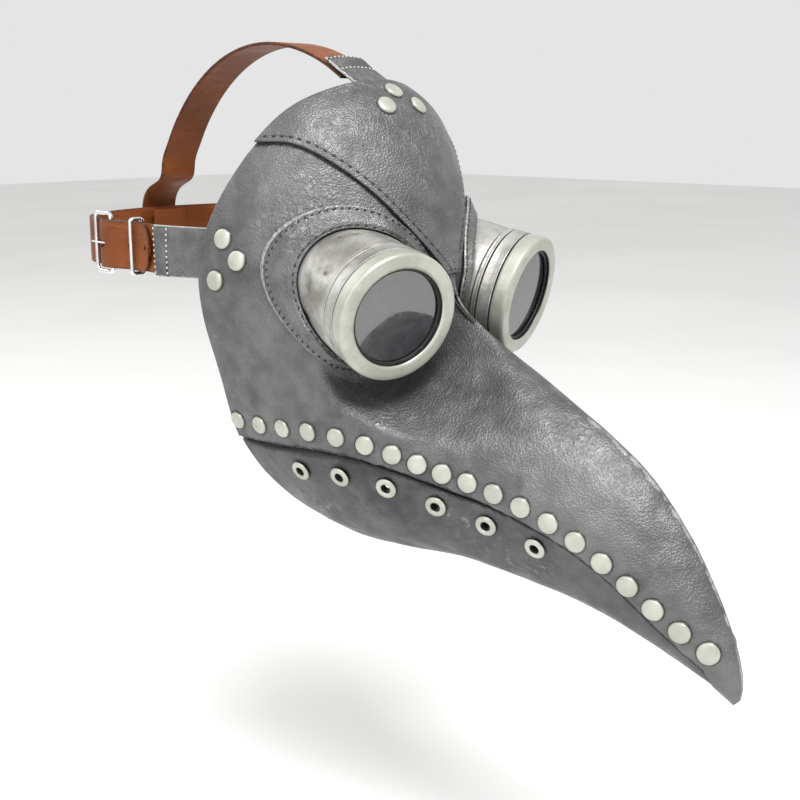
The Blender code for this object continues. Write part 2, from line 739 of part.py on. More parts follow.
def rounded_rectangle(a_low, a_high, b_low, b_high, corner):
    """Corner points of a rectangle whose corners are cut by two short steps."""
    points = []
    for ca, cb, start in ((a_high, b_high, 0), (a_low, b_high, 90), (a_low, b_low, 180),
                          (a_high, b_low, 270)):
        middle_a = ca - math.copysign(corner, ca - (a_low + a_high) / 2)
        middle_b = cb - math.copysign(corner, cb - (b_low + b_high) / 2)
        for step in (0, 30, 60, 90):
            angle = math.radians(start + step)
            points.append((middle_a + corner * math.cos(angle),
                           middle_b + corner * math.sin(angle)))
    return points


def make_buckle(side_name, side):
    """Wire frame that hinges on its heel bar, with a prong on the same bar."""
    axis_point = side_point(side, HEEL_U, HEEL_W)
    corners = []
    for u, z in rounded_rectangle(HEEL_U, FAR_U, -FRAME_HALF, FRAME_HALF, 1.6):
        lift = HEEL_W + (FAR_W - HEEL_W) * (u - HEEL_U) / (FAR_U - HEEL_U)
        corners.append(side_point(side, u, lift) + Vector((0.0, 0.0, z)))
    tube_loop("buckle_frame_" + side_name, corners, BAR_R, steel(), origin=axis_point)
    make_prong(side_name, side, axis_point)


def make_prong(side_name, side, axis_point):
    """A ring round the heel bar and a flat tongue out over the far bar."""
    hole_r = BAR_R + 0.25
    outline, bore = [], []
    tongue_low = FAR_W + BAR_R + GAP - HEEL_W
    tongue_high = tongue_low + PRONG_T
    start = math.asin(tongue_high / PRONG_RING_R)
    turns = 14
    stop = math.asin(tongue_low / PRONG_RING_R)
    for k in range(turns + 1):
        angle = start + (math.tau - start + stop) * k / turns
        outline.append((PRONG_RING_R * math.cos(angle), PRONG_RING_R * math.sin(angle)))
        bore.append((hole_r * math.cos(angle), hole_r * math.sin(angle)))
    reach = FAR_U - HEEL_U + 2.6
    points, faces = [], []
    half = PRONG_HALF

    def put(u, w, z):
        points.append(side_point(side, HEEL_U + u, HEEL_W + w) + Vector((0.0, 0.0, z)))
        return len(points) - 1

    rim = [[put(u, w, z) for u, w in outline] for z in (-half, half)]
    hole = [[put(u, w, z) for u, w in bore] for z in (-half, half)]
    tip = [[put(reach, tongue_low, z), put(reach, tongue_high, z)] for z in (-half, half)]
    for k in range(turns):
        faces += [(rim[0][k], rim[0][k + 1], rim[1][k + 1], rim[1][k]),
                  (hole[0][k + 1], hole[0][k], hole[1][k], hole[1][k + 1]),
                  (rim[0][k + 1], rim[0][k], hole[0][k], hole[0][k + 1]),
                  (rim[1][k], rim[1][k + 1], hole[1][k + 1], hole[1][k])]
    faces += [(hole[0][0], hole[0][turns], hole[1][turns], hole[1][0]),
              (rim[0][turns], tip[0][0], tip[1][0], rim[1][turns]),
              (tip[0][1], rim[0][0], rim[1][0], tip[1][1]),
              (tip[0][0], tip[0][1], tip[1][1], tip[1][0]),
              (rim[0][0], tip[0][1], tip[0][0], rim[0][turns], hole[0][turns], hole[0][0]),
              (tip[1][1], rim[1][0], hole[1][0], hole[1][turns], rim[1][turns], tip[1][0])]
    return add_mesh("buckle_prong_" + side_name, points, faces, steel(), round_shape=False,
                    origin=axis_point)


def make_keeper(side_name, side):
    """Wire loop that holds the strap's free end down."""
    low = -WIRE_R - KEEPER_CLEAR
    high = LAYER_W + STRAP_T + KEEPER_CLEAR + 0.1 + WIRE_R
    half = STRAP_W / 2 + KEEPER_CLEAR + 0.1 + WIRE_R
    corners = [side_point(side, KEEPER_U, w) + Vector((0.0, 0.0, z))
               for w, z in rounded_rectangle(low, high, -half, half, 1.2)]
    tube_loop("strap_keeper_" + side_name, corners, WIRE_R, steel(), sides=8,
              origin=side_point(side, KEEPER_U, 0.0))


def make_rear_strap():
    """The long strap: a pointed end over each buckle, and the loop round the back of the head."""
    rest = LAYER_W
    over = 2 * HEEL_W + GAP
    plan = ((5.0, rest + 2.2), (9.0, rest + 0.6), (13.0, rest), (KEEPER_U, rest), (28.5, rest),
            (33.5, rest + LAYER_W), (HEEL_U - 6.0, over - 0.6), (HEEL_U - 1.0, over),
            (HEEL_U + 3.0, over - 0.4), (HEEL_U + 8.0, over - 3.2), (FAR_U - 4.0, 0.9),
            (FAR_U, 0.2), (FAR_U + 6.0, 0.0))
    taper = [2.0, 8.5]        # half widths along the pointed end
    right = [(side_point(-1, u, w), side_axes(-1)[2]) for u, w in plan]
    left = [(side_point(1, u, w), side_axes(1)[2]) for u, w in reversed(plan)]
    end = side_point(-1, FAR_U + 6.0, 0.0)
    centre_y = end.y - 4.0
    start_angle = math.atan2((end.y - centre_y) / (BACK_Y - centre_y), 1.0)
    width = abs(end.x) / math.cos(start_angle)
    back = []
    turns = 26
    for k in range(1, turns):
        angle = start_angle + (math.pi - 2 * start_angle) * k / turns
        x, y = -width * math.cos(angle), (BACK_Y - centre_y) * math.sin(angle)
        normal = Vector((x / width ** 2, y / (BACK_Y - centre_y) ** 2, 0.0)).normalized()
        back.append((Vector((x, centre_y + y, STRAP_Z)), normal))
    path = right + back + left
    half = STRAP_W / 2
    widths = taper + [half] * (len(path) - 2 * len(taper)) + taper[::-1]
    strap = ribbon("rear_strap", path, STRAP_T, widths, (0.0, 0.0, 1.0), brown_leather())
    for side in (-1, 1):
        cut(strap, box_cutter(side, HEEL_U - 2.5, HEEL_U + 12.5, -2.0, 12.0, 2.4))
    return strap


def head_arc(angle, lift):
    """Point and outward normal on the midline over the crown; angle 0 is the forehead."""
    length = CROWN_FRONT if angle < math.pi / 2 else BACK_Y - 1.0
    y, z = -length * math.cos(angle), CROWN_HEIGHT * math.sin(angle)
    normal = Vector((0.0, y / length ** 2, z / CROWN_HEIGHT ** 2)).normalized()
    return Vector((0.0, y, z)) + normal * lift, normal

def make_top_strap():
    """Strap over the crown, with a sewn loop round the rear strap at the back."""
    path = []
    for k in range(19):
        angle = TOP_TAB_END - math.radians(7.0) + (math.radians(163.0) - TOP_TAB_END) * k / 18
        path.append(head_arc(angle, -STRAP_T))
    outer_y = BACK_Y + STRAP_T + 2.0
    low, high = STRAP_Z - STRAP_W / 2 - 1.6, STRAP_Z + STRAP_W / 2 + 1.6
    path.append((Vector((0.0, outer_y, high + 2.5)), Vector((0.0, 1.0, 0.2)).normalized()))
    path.append((Vector((0.0, outer_y, low + 1.0)), Vector((0.0, 1.0, -0.1)).normalized()))
    path.append((Vector((0.0, outer_y - 0.6, low)), Vector((0.0, 0.7, -0.7)).normalized()))
    path.append((Vector((0.0, BACK_Y - 3.0, low)), Vector((0.0, -0.7, -0.7)).normalized()))
    path.append((Vector((0.0, BACK_Y - 3.6, low + 1.0)), Vector((0.0, -1.0, 0.0))))
    path.append((Vector((0.0, BACK_Y - 3.6, high - 3.0)), Vector((0.0, -1.0, 0.0))))
    widths = [CROWN_STRAP_HALF] * len(path)
    return ribbon("top_strap", path, STRAP_T, widths, (1.0, 0.0, 0.0), brown_leather())


def make_tab(name, stations, columns, ring_of, lift, goals):
    """A tab that lies inside the skin at some stations, then runs straight to each goal."""
    outer = np.zeros((len(stations) + len(goals), len(columns), 3))
    inner = np.zeros_like(outer)
    for j, column in enumerate(columns):
        for i, station in enumerate(stations):
            s, t = np.array([station]), np.array([ring_of(station, column)])
            outer[i, j] = off_skin(s, t, lift)[0]
            inner[i, j] = off_skin(s, t, lift - TAB_T)[0]
        for i, goal in enumerate(goals, len(stations)):
            outer[i, j], inner[i, j] = goal(column)
    points, faces, walls, under = two_skins(outer, inner, lambda i, j: True)
    return add_mesh(name, points, faces + wall_faces(walls, under), grey_leather())


def make_top_tab():
    """Grey tab under the brow panel, reaching back over its edge to the crown strap."""
    def ring_of(station, x):
        t = np.linspace(0.0, 1.5, 60)
        found = float(np.interp(abs(x), -skin(np.full_like(t, station), t)[:, 0], t))
        return found if x < 0 else -found

    def goal_at(angle, lift):
        def goal(x):
            low, normal = head_arc(angle, lift)
            across = Vector((x, 0.0, -TAB_CROWN * x * x))
            return low + across + normal * TAB_T, low + across
        return goal

    goals = [goal_at(math.radians(60.0), 1.6), goal_at(TOP_TAB_END, 2.2)]
    return make_tab("strap_tab_top", np.linspace(1.75, 0.05, 6),
                    np.linspace(-TAB_W / 2, TAB_W / 2, 7), ring_of, -0.25, goals)


def make_side_tab(side_name, side):
    """Grey tab riveted inside the face panel, reaching back over the side strap's end."""
    start, along, outward = side_axes(side)

    def ring_of(station, z):
        found = ring_at_height(station, z)
        return found if side < 0 else -found

    def goal_at(u):
        def goal(z):
            low = start + along * u + Vector((0.0, 0.0, z - STRAP_Z)) + outward * LAYER_W
            return low + outward * TAB_T, low
        return goal

    return make_tab("strap_tab_" + side_name, np.linspace(1.45, 0.0, 5),
                    np.linspace(STRAP_Z - TAB_W / 2, STRAP_Z + TAB_W / 2, 7), ring_of,
                    -FACE_T - GAP, [goal_at(-7.0), goal_at(2.0)])


def ring_at_height(station, z):
    """Ring position on the right side of the skin at a height."""
    t = np.linspace(1.0, 5.0, 160)
    heights = skin(np.full_like(t, station), t)[:, 2]
    return float(np.interp(-z, -heights, t))


# ---------------------------------------------------------------- assembly

def main():
    clear_scene()
    face = make_face_panel()
    tree = panel_tree(face)
    jaw = make_jaw_panel()
    brow = make_brow_panel()
    for side in (-1, 1):
        cut(face, eye_cutter(side))
    top_tab = make_top_tab()
    tabs = {}
    for side_name, side in (("right", -1), ("left", 1)):
        make_eyepiece(side_name, side, tree)
        tabs[side_name] = make_side_tab(side_name, side)
        make_side_strap(side_name, side)
        make_buckle(side_name, side)
        make_keeper(side_name, side)
    make_rear_strap()
    make_top_strap()

    grip = FACE_T + GAP + TAB_T + RIVET_SEAT
    for side_name, side in (("right", -1), ("left", 1)):
        spots = []
        for station, z in SIDE_RIVETS:
            t = ring_at_height(station, z)
            spots.append((station, t if side < 0 else -t))
        places = [place_on_skin(s, t, RIVET_SEAT) for s, t in spots]
        cut(face, hole_cutter(places, SHANK_R + 0.2, grip + 2.0))
        cut(tabs[side_name], hole_cutter(places, SHANK_R + 0.2, grip + 2.0))
        for number, place in enumerate(places, 1):
            make_rivet(f"tab_rivet_{side_name}_{number}", place, grip + 0.35)

    places = [place_on_skin(s, t, GAP + BROW_T + RIVET_SEAT) for s, t in TOP_RIVETS]
    grip = GAP + BROW_T + 0.25 + TAB_T + RIVET_SEAT
    cut(brow, hole_cutter(places, SHANK_R + 0.2, grip + 2.0))
    cut(top_tab, hole_cutter(places, SHANK_R + 0.2, grip + 2.0))
    for number, place in enumerate(places, 1):
        make_rivet(f"tab_rivet_top_{number}", place, grip + 0.4)

    for side_name, side in (("right", -1), ("left", 1)):
        places = [place_on_skin(s, t, EYELET_SEAT) for s, t in eyelet_places(side)]
        cut(jaw, hole_cutter(places, EYELET_HOLE_R + 0.8, JAW_T + 3.0))
        for number, place in enumerate(places, 1):
            make_eyelet(f"jaw_eyelet_{side_name}_{number}", place, JAW_T + EYELET_SEAT + 1.3)


main()
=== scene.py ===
"""Looks of the plague doctor mask: leather panels, eyepieces, studs, stitching, straps and buckles.

Blender 4.5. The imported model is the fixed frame, and the pieces made here stand for its nodes.
The frame is the wearer's head: +Z is up, the beak points towards -Y and the wearer's right is -X.
Sizes below are in millimetres.
"""

import math
import random

import bpy
import numpy as np
from mathutils import Matrix, Vector, noise
from mathutils.bvhtree import BVHTree


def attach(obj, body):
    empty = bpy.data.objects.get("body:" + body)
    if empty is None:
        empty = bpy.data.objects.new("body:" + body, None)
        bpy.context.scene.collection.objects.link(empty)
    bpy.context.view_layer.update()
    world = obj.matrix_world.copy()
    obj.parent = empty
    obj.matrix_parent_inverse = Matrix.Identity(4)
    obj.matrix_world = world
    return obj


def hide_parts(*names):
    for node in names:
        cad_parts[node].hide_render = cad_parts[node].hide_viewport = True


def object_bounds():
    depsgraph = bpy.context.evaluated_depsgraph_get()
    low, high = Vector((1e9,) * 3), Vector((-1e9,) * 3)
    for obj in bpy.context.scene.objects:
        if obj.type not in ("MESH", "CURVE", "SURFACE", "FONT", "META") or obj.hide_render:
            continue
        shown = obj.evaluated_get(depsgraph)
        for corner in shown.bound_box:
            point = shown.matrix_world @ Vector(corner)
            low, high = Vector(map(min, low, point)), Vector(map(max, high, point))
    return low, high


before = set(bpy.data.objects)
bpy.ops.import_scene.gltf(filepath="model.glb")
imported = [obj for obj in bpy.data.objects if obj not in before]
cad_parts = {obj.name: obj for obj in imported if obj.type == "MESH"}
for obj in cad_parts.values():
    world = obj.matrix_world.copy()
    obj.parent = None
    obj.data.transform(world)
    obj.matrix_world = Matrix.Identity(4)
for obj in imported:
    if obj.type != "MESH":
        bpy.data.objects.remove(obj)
CAD_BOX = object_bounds()

MM = 0.001
GAP = 0.3
SIDES = (("right", -1), ("left", 1))
BODY = "mask"
UP = (0.0, 0.0, 1.0)
# Leather thicknesses
FACE_T = 2.4
JAW_T = 2.0
BROW_T = 1.8
PATCH_T = 1.6
TAB_T = 1.8
STRAP_T = 1.8

# The outer skin of the face panel. Each station is one ring of the skin, from the rear edge to the
# beak tip: ridge (y, z), then brow, temple, cheek, gum, seam and chin (x, y, z) on the left side,
# then keel (y, z). The right side is its mirror image.
STATIONS = (
    ((-73, 106), (38, -64, 98), (63, -48, 75), (80, -25, 22),
     (75.5, -30, -32), (65, -34, -72), (44, -52, -107), (-66, -128)),
    ((-88, 94), (37, -77, 90), (62, -62, 66), (78, -45, 14),
     (74, -50, -30), (65, -57, -72), (42, -74, -112), (-84, -131)),
    ((-100, 76), (35, -89, 73), (59, -77, 48), (73.5, -68, 2),
     (71.5, -73, -32), (64.5, -80, -70.5), (40, -97, -113), (-102, -130)),
    ((-109, 55), (32, -101, 50), (53, -92, 25), (66, -91, -10),
     (66.5, -95, -39), (61.5, -105, -70), (38, -119, -112), (-120, -129)),
    ((-117, 31), (27, -113, 20), (45, -107, -3), (57, -108, -29),
     (58.5, -119, -49), (53, -130, -74), (33, -141, -111), (-141, -128)),
    ((-131, 3), (18, -128, -9), (33, -127, -27), (45, -132, -47),
     (47, -143, -60), (41, -157, -82), (27, -165, -114), (-165, -130)),
    ((-161, -23), (14, -161, -30), (26, -162, -42), (35, -166, -58),
     (37.5, -171, -70), (34, -180, -88), (21, -190, -118), (-191, -133)),
    ((-208, -48), (11, -208, -54), (20, -208, -64), (26, -210, -77),
     (28, -213, -88), (25, -219, -104), (15, -225, -128), (-226, -139)),
    ((-253, -82), (7, -252, -87), (13, -251, -95), (17, -250, -105),
     (18, -250, -114), (15, -252, -130), (9.5, -253, -141), (-253, -148)),
    ((-284, -134), (3.2, -283.5, -136), (6, -282, -139.5), (7.5, -280, -143),
     (7.6, -278.5, -146), (6.8, -277, -150), (4, -275.5, -154), (-275, -156)),
    ((-288, -158.5), (0.8, -287.8, -158.8), (1.3, -287.3, -159.3), (1.5, -286.6, -160),
     (1.4, -286, -160.6), (1.1, -285.4, -161), (0.6, -285, -161.3), (-284.8, -161.4)),
)
TIP = len(STATIONS) - 1   # station number of the beak tip
SEAM = 5.0                # ring position of the jaw seam
KEEL = 7.0                # ring position of the lower midline

# Panel edges, in station numbers and ring positions
BROW_END = 4.62           # station where the brow panel ends, at the bridge of the nose
BROW_WIDE, BROW_NARROW = 1.95, 0.2
BROW_LAP = 0.33           # how far the face panel reaches under the brow panel
NOTCH_END = 4.2           # station where the two sides of the face panel join
RIDGE_SPLIT = 0.07
CLOSE_START, CLOSE_END = 8.75, 9.3    # the face panel wraps under the tip between these stations
TIP_FADE = (8.9, 9.6)     # its surface turns even between these,
TEAR_FADE = (8.2, 8.7)    # its seam edge runs clean from here
RIDGE_WORN = (5.6, 7.6)   # and its ridge is rubbed from here to the tip
JAW_TIP = 9.15            # last station of the jaw panel
JAW_THINS = (8.4, 9.0)
JAW_CLOSES = (8.5, 8.8)   # its hidden edge meets the face panel's between these
SLIT = 6.85               # ring position of the wrapped panel's lower edges
CAVITY_START, CAVITY_RATE = 8.0, 0.42  # the beak turns solid towards the tip
JAW_LAP = 8.0             # jaw panel reaches this far up inside the face panel
JAW_LAP_GAP = 0.45        # between the two where they overlap
JAW_SUNK = 0.9            # below the seam it lies this far inside the skin

# Eyepieces
EYE_CENTRE = (50.0, -133.0, -1.5)     # middle of the left bezel's front ring
EYE_YAW = math.radians(14.7)
EYE_PITCH = math.radians(-13.0)
BARREL_R, BARREL_INNER_R = 30.0, 25.0
SOCKET_FLOOR, SOCKET_EASE = -25.0, 4.0   # how far behind the bezel's front the skin is pressed
SOCKET_R, SOCKET_RIM_R = 39.0, 54.0
SPIGOT_R = 28.8
BEZEL_R = 31.4
OPENING_R = 23.9
EYE_SEAT = 1.05           # how far the barrel and patch stand off the face panel
COLLAR_FRONT, COLLAR_REAR = -9.3, -16.4  # from the bezel's front, as are the next heights
COLLAR_R = 31.0
BAND_FRONT, BAND_REAR = -17.0, -19.8
BAND_R = 30.8
SHOULDER = -20.3          # step from the spigot up to the barrel
SPIGOT_END = -5.9
FLANGE_R = 33.0
FLANGE_TOP = 1.9          # the flange's upper face over the skin
PATCH_INNER_R = BARREL_R + 0.9
PATCH_RISE = 2.6          # the patch climbs this far where it covers the flange
PATCH_STEP_R = 35.2       # and is down on the panel again at this radius
PATCH_RINGS = (0.03, 0.08, 0.16, 0.26, 0.36, 0.45, 0.54, 0.63, 0.72, 0.8, 0.87, 0.93, 0.97, 0.99)
WINDOW_R = 26.0           # hole in the face panel behind the eyepiece
WINDOW_BEHIND = -8.0      # nothing in front of this height belongs to the window

# Fasteners
RIVET_R = 4.9
RIVET_RISE, STUD_RISE = 1.35, 1.15
SIDE_RIVETS = ((0.62, 31.0), (1.15, 21.0), (0.62, 10.5))   # station and height
TOP_RIVETS = ((0.55, 0.0), (1.05, -0.28), (1.05, 0.28))    # station and ring position
EYELET_R, EYELET_HOLE_R = 5.3, 2.2
EYELET_COUNT = 6
EYELET_PLAY, EYELET_DEPTH = 0.4, 6.0   # the jaw's hole: how much wider, and half its cutter
EYELET_SEAT = -0.15       # where the flange sits, from the skin: the jaw is domed under it
EYELET_BELOW_SEAM = 13.6
EYELET_FIRST, EYELET_LAST = 1.62, 6.32   # stations of the end eyelets

# Straps
STRAP_W = 25.0
TAB_W = 26.0
TAB_CROWN = 0.006         # how fast the top tab falls away to its sides, per mm
TOP_TAB_END = math.radians(66.0)      # where the top tab ends, over the crown
STRAP_Z = 23.0            # height of the side straps' middle
SIDE_START = (80.5, 3.0)  # plan position where the left strap leaves its tab
SIDE_REAR = (74.5, 61.0)  # plan position where the straight stretch ends
BACK_Y = 107.0            # the rear strap's inner face at the back of the head
CROWN_FRONT, CROWN_HEIGHT = 113.0, 127.5  # half axes of the arc that the crown strap follows
CROWN_STRAP_HALF = STRAP_W / 2 - 0.5
HEEL_U, FAR_U = 46.0, 62.0            # the buckle's heel bar and far bar, along the strap
HEEL_W, FAR_W = 3.4, 3.6              # their height over the strap's inner face
BAR_R = 1.2
FRAME_HALF = 15.6
SLOT_HALF = 2.6           # half height of the slot for the prong in the side strap
PRONG_T = 1.0
KEEPER_U = 22.0
KEEPER_CLEAR = 0.4
WIRE_R = 1.1
LAYER_W = STRAP_T + GAP   # height of a second strap layer over the inner face

# Seam studs and stitches
STUD_COUNT = 19
STUD_ABOVE_SEAM = 10.7
STUD_FIRST, STUD_LAST = 0.2, 8.82     # stations of the end studs
STUD_SPREAD = 0.033                   # wider spacing over the cheek
STUD_SMALL, STUD_LARGE = 9.0, 10.2    # diameters at the cheek and at the tip
STITCH_IN = 3.4                       # brow stitches inside the panel's edge
BROW_STITCH_END = 4.25
BROW_PITCH, BRIDGE_PITCH, TAB_PITCH = 4.4, 2.0, 2.6   # stitch lengths with their gaps
INNER_PITCH, OUTER_PITCH = 4.2, 3.6
PUNCH_FIRST, PUNCH_PITCH, PUNCH_R = 11.0, 16.0, 1.3   # buckle holes in the rear strap

# Camera and stage
VIEW_AZIMUTH, VIEW_ELEVATION = 47.5, 13.0
VIEW_LENS = 56.25
VIEW_FROM = (-0.4693, -0.5172, 0.0916)
FLOOR_DROP = 150.0
FLOOR_REACH = 6000.0
LIGHT_TARGET = (0.0, -0.08, -0.02)    # in metres, as are the lights' places
WORLD_STRENGTH = 0.78

# Mesh detail
FAR_OFF = 1e3             # a distance that is never the nearest
RING_MM = 40.0            # about how long one step of ring position is, beside the brow panel
RIM = (0.0, 0.008, 0.02, 0.04, 0.07)  # stations close together at a panel's cut edge
RIM_END = 0.12            # and where the even ones start
FACE_ROWS, FACE_TIP_ROWS, FACE_COLUMNS = 190, 34, 88
JAW_ROWS, JAW_HIDDEN, JAW_SHOWN = 132, 9, 46
BROW_ROWS, BROW_COLUMNS = 84, 94
SPLINE_STEPS = 400
TAB_ROWS, TAB_COLUMNS = 46, 33
STRAP_STEP = 1.6          # length of one row of a strap's mesh
PATCH_SIDES, BARREL_SIDES, BARREL_STEPS = 144, 168, 30
DENT_COUNT = 15
DOME_SIDES, DOME_MIDDLE = 36, 0.25
EYELET_SIDES = 40
LOOP_STEPS, PRONG_STEPS, CURL_STEPS = 140, 60, 16
RAY_START = 40.0          # rays on to the face panel start this far in front of the eyepiece
STEEPEST = 0.35           # least slope that a lift off the panel is corrected for


# ---------------------------------------------------------------- splines and the skin

def natural_matrix(count):
    """Second derivatives of a natural cubic spline as a matrix that acts on its knots."""
    system = np.eye(count) * 4.0
    right = np.zeros((count, count))
    for i in range(1, count - 1):
        system[i, i - 1] = system[i, i + 1] = 1.0
        right[i, i - 1], right[i, i], right[i, i + 1] = 6.0, -12.0, 6.0
    return np.linalg.solve(system, right)


def closed_matrix(count):
    """The same for a closed spline."""
    system = np.zeros((count, count))
    right = np.zeros((count, count))
    for i in range(count):
        before, after = (i - 1) % count, (i + 1) % count
        system[i, i], system[i, before], system[i, after] = 4.0, 1.0, 1.0
        right[i, before], right[i, i], right[i, after] = 6.0, -12.0, 6.0
    return np.linalg.solve(system, right)


def weights(position, matrix, closed):
    """How much each knot counts at each position along the spline."""
    count = len(matrix)
    position = np.asarray(position, float)
    if closed:
        position = position % count
        low = np.floor(position).astype(int) % count
        high = (low + 1) % count
    else:
        position = np.clip(position, 0.0, count - 1.0)
        low = np.minimum(np.floor(position).astype(int), count - 2)
        high = low + 1
    f = (position - low)[:, None]
    g = 1.0 - f
    unit = np.eye(count)
    return (g * unit[low] + f * unit[high]
            + ((g ** 3 - g) * matrix[low] + (f ** 3 - f) * matrix[high]) / 6.0)


def closed_ring(station):
    """A station as a whole ring: ridge, right side down to the keel, left side back up."""
    ridge, keel = station[0], station[-1]
    right = [(-x, y, z) for x, y, z in station[1:-1]]
    left = [(x, y, z) for x, y, z in reversed(station[1:-1])]
    return [(0.0, *ridge)] + right + [(0.0, *keel)] + left


NET = np.array([closed_ring(station) for station in STATIONS], float)
ALONG = natural_matrix(NET.shape[0])
AROUND = closed_matrix(NET.shape[1])


def smooth(low, high, x):
    """Smooth step from 0 to 1."""
    f = np.clip((np.asarray(x, float) - low) / (high - low), 0.0, 1.0)
    return f * f * (3.0 - 2.0 * f)


def eye_axis(side):
    """Unit vector out through one lens. side is +1 left, -1 right."""
    return np.array((side * math.sin(EYE_YAW) * math.cos(EYE_PITCH),
                     -math.cos(EYE_YAW) * math.cos(EYE_PITCH), math.sin(EYE_PITCH)))


def sink_sockets(points):
    """Press the skin back round each eyepiece, so that the whole barrel stands in front of it."""
    points = points.copy()
    for side in (-1, 1):
        axis = eye_axis(side)
        reach = points - np.array((side * EYE_CENTRE[0], *EYE_CENTRE[1:]))
        ahead = reach @ axis
        radius = np.linalg.norm(reach - ahead[:, None] * axis, axis=1)
        over = ahead - SOCKET_FLOOR
        push = 0.5 * (over + np.sqrt(over ** 2 + SOCKET_EASE ** 2))
        push *= (1.0 - smooth(SOCKET_R, SOCKET_RIM_R, radius)) * (side * points[:, 0] > 0.0)
        points -= push[:, None] * axis
    return points


def skin(s, t):
    """Points of the outer skin at stations s and ring positions t, in millimetres."""
    net = np.einsum("ni,nj,ijk->nk", weights(s, ALONG, False), weights(t, AROUND, True), NET)
    return sink_sockets(net)


def skin_normal(s, t):
    """Outward unit normals of the skin."""
    step = 0.02
    low, high = np.maximum(s - step, 0.0), np.minimum(s + step, float(TIP))
    along = skin(high, t) - skin(low, t)
    around = skin(s, t + step) - skin(s, t - step)
    normal = np.cross(around, along)
    return normal / np.linalg.norm(normal, axis=1, keepdims=True)


def off_skin(s, t, offset):
    """Points at a distance outside (+) or inside (-) the skin."""
    s, t = np.broadcast_arrays(np.asarray(s, float), np.asarray(t, float))
    shape = s.shape
    s, t = s.ravel(), t.ravel()
    offset = np.broadcast_to(offset, shape).reshape(-1, 1)
    return (skin(s, t) + skin_normal(s, t) * offset).reshape(*shape, 3)


def path_lengths(points):
    """Distance of each point from the first, along the path."""
    return np.concatenate([[0.0], np.cumsum(np.linalg.norm(np.diff(points, axis=0), axis=1))])


def below_seam(station, distance):
    """Ring position at a distance below the seam (or above it, if negative) along the ring."""
    end = SEAM + (2.0 if distance > 0 else -2.5)
    t = np.linspace(SEAM, end, 120)
    points = skin(np.full_like(t, station), t)
    length = path_lengths(points)
    return float(np.interp(abs(distance), length, t))


def brow_edge(s):
    """Ring position of the brow panel's lower edge."""
    fraction = np.clip(np.asarray(s, float) / BROW_END, 0.0, 1.0)
    return BROW_NARROW + (BROW_WIDE - BROW_NARROW) * (1.0 - fraction ** 1.3)


def face_top(s):
    """Ring position of the face panel's upper edge, under the brow panel."""
    return np.where(s < NOTCH_END, brow_edge(s) - BROW_LAP, RIDGE_SPLIT)


def face_low(s):
    """Ring position of the face panel's lower edge: the seam, then the wrap under the tip."""
    return SEAM + (SLIT - SEAM) * smooth(CLOSE_START, CLOSE_END, s)


# ---------------------------------------------------------------- meshes

def make_piece(name, points, faces, paints, replaces=(), body=BODY, face_paint=None,
               marks=None, sharp=None):
    """A smooth mesh from points in millimetres. marks holds one value per point for each name."""
    mesh = bpy.data.meshes.new(name)
    points = np.asarray(points, float)
    mesh.from_pydata((points * MM).tolist(), [], [tuple(face) for face in faces])
    for paint in paints:
        mesh.materials.append(paint)
    if face_paint is not None:
        mesh.polygons.foreach_set("material_index", np.asarray(face_paint, np.int32))
    for key in ("wear_and_highlight", "grime_and_shade"):
        layer = mesh.attributes.new(key, "FLOAT", "POINT")
        values = (marks or {}).get(key)
        if values is not None:
            layer.data.foreach_set("value", np.asarray(values, np.float32).ravel())
    mesh.shade_smooth()
    if sharp:
        mesh.set_sharp_from_angle(angle=math.radians(sharp))
    mesh.update()
    item = bpy.data.objects.new(name, mesh)
    bpy.context.collection.objects.link(item)
    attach(item, body)
    if replaces:
        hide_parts(*replaces)
    return item


def frame_at(origin, forward, upward):
    """A matrix, in millimetres, whose local Z is forward and whose local Y leans upward."""
    z = Vector(forward).normalized()
    x = Vector(upward).cross(z).normalized()
    y = z.cross(x)
    return Matrix.Translation(Vector(origin)) @ Matrix((x, y, z)).transposed().to_4x4()


def polar(place, radius, angle, z):
    """A point given by its radius, angle and height in a local frame."""
    return place @ Vector((radius * math.cos(angle), radius * math.sin(angle), z))


def end_caps(rings, count):
    """The two faces that close a run of rings of count points each."""
    return [list(range(count))[::-1], [(rings - 1) * count + k for k in range(count)]]


def ring_faces(rings, count, closed=True, looped=True):
    """Faces between rings of count points each."""
    faces = []
    for k in range(rings if looped else rings - 1):
        after = (k + 1) % rings
        for i in range(count if closed else count - 1):
            j = (i + 1) % count
            faces.append((k * count + i, k * count + j, after * count + j, after * count + i))
    return faces


def rounded(profile, radius, steps=4):
    """A closed profile with its corners turned into short curves."""
    corners = [Vector(point) for point in profile]
    made = []
    for i, corner in enumerate(corners):
        before, after = corners[i - 1] - corner, corners[(i + 1) % len(corners)] - corner
        reach = min(radius, 0.45 * before.length, 0.45 * after.length)
        first = corner + before.normalized() * reach
        last = corner + after.normalized() * reach
        for k in range(steps + 1):
            f = k / steps
            made.append(tuple(first * (1 - f) ** 2 + corner * (2 * f * (1 - f)) + last * f ** 2))
    return made


def turn(profile, sides, place):
    """Points and faces of a closed (radius, z) profile turned round the local Z axis."""
    points = [polar(place, radius, math.tau * k / sides, z)
              for k in range(sides) for radius, z in profile]
    return points, ring_faces(sides, len(profile))


def turned_piece(name, profile, place, paint, replaces, sides=96, radius=0.35, grime_and_shade=None):
    """A turned ring. grime_and_shade(r, z) gives how far it is darkened at each point of its
    profile: patina on the rings, painted shade on the bezel.
    """
    profile = rounded(profile, radius)
    points, faces = turn(profile, sides, place)
    marks = {"grime_and_shade": [grime_and_shade(r, z) for r, z in profile] * sides} if grime_and_shade else None
    make_piece(name, points, faces, [paint], replaces, marks=marks)


def disc(place, profile, sides):
    """Points and faces of an open (radius, z) profile turned round and closed at both ends."""
    points, faces = turn(profile, sides, place)
    count = len(profile)
    faces = ring_faces(sides, count, closed=False)
    faces.append([k * count for k in range(sides)])
    faces.append([k * count + count - 1 for k in reversed(range(sides))])
    return points, faces


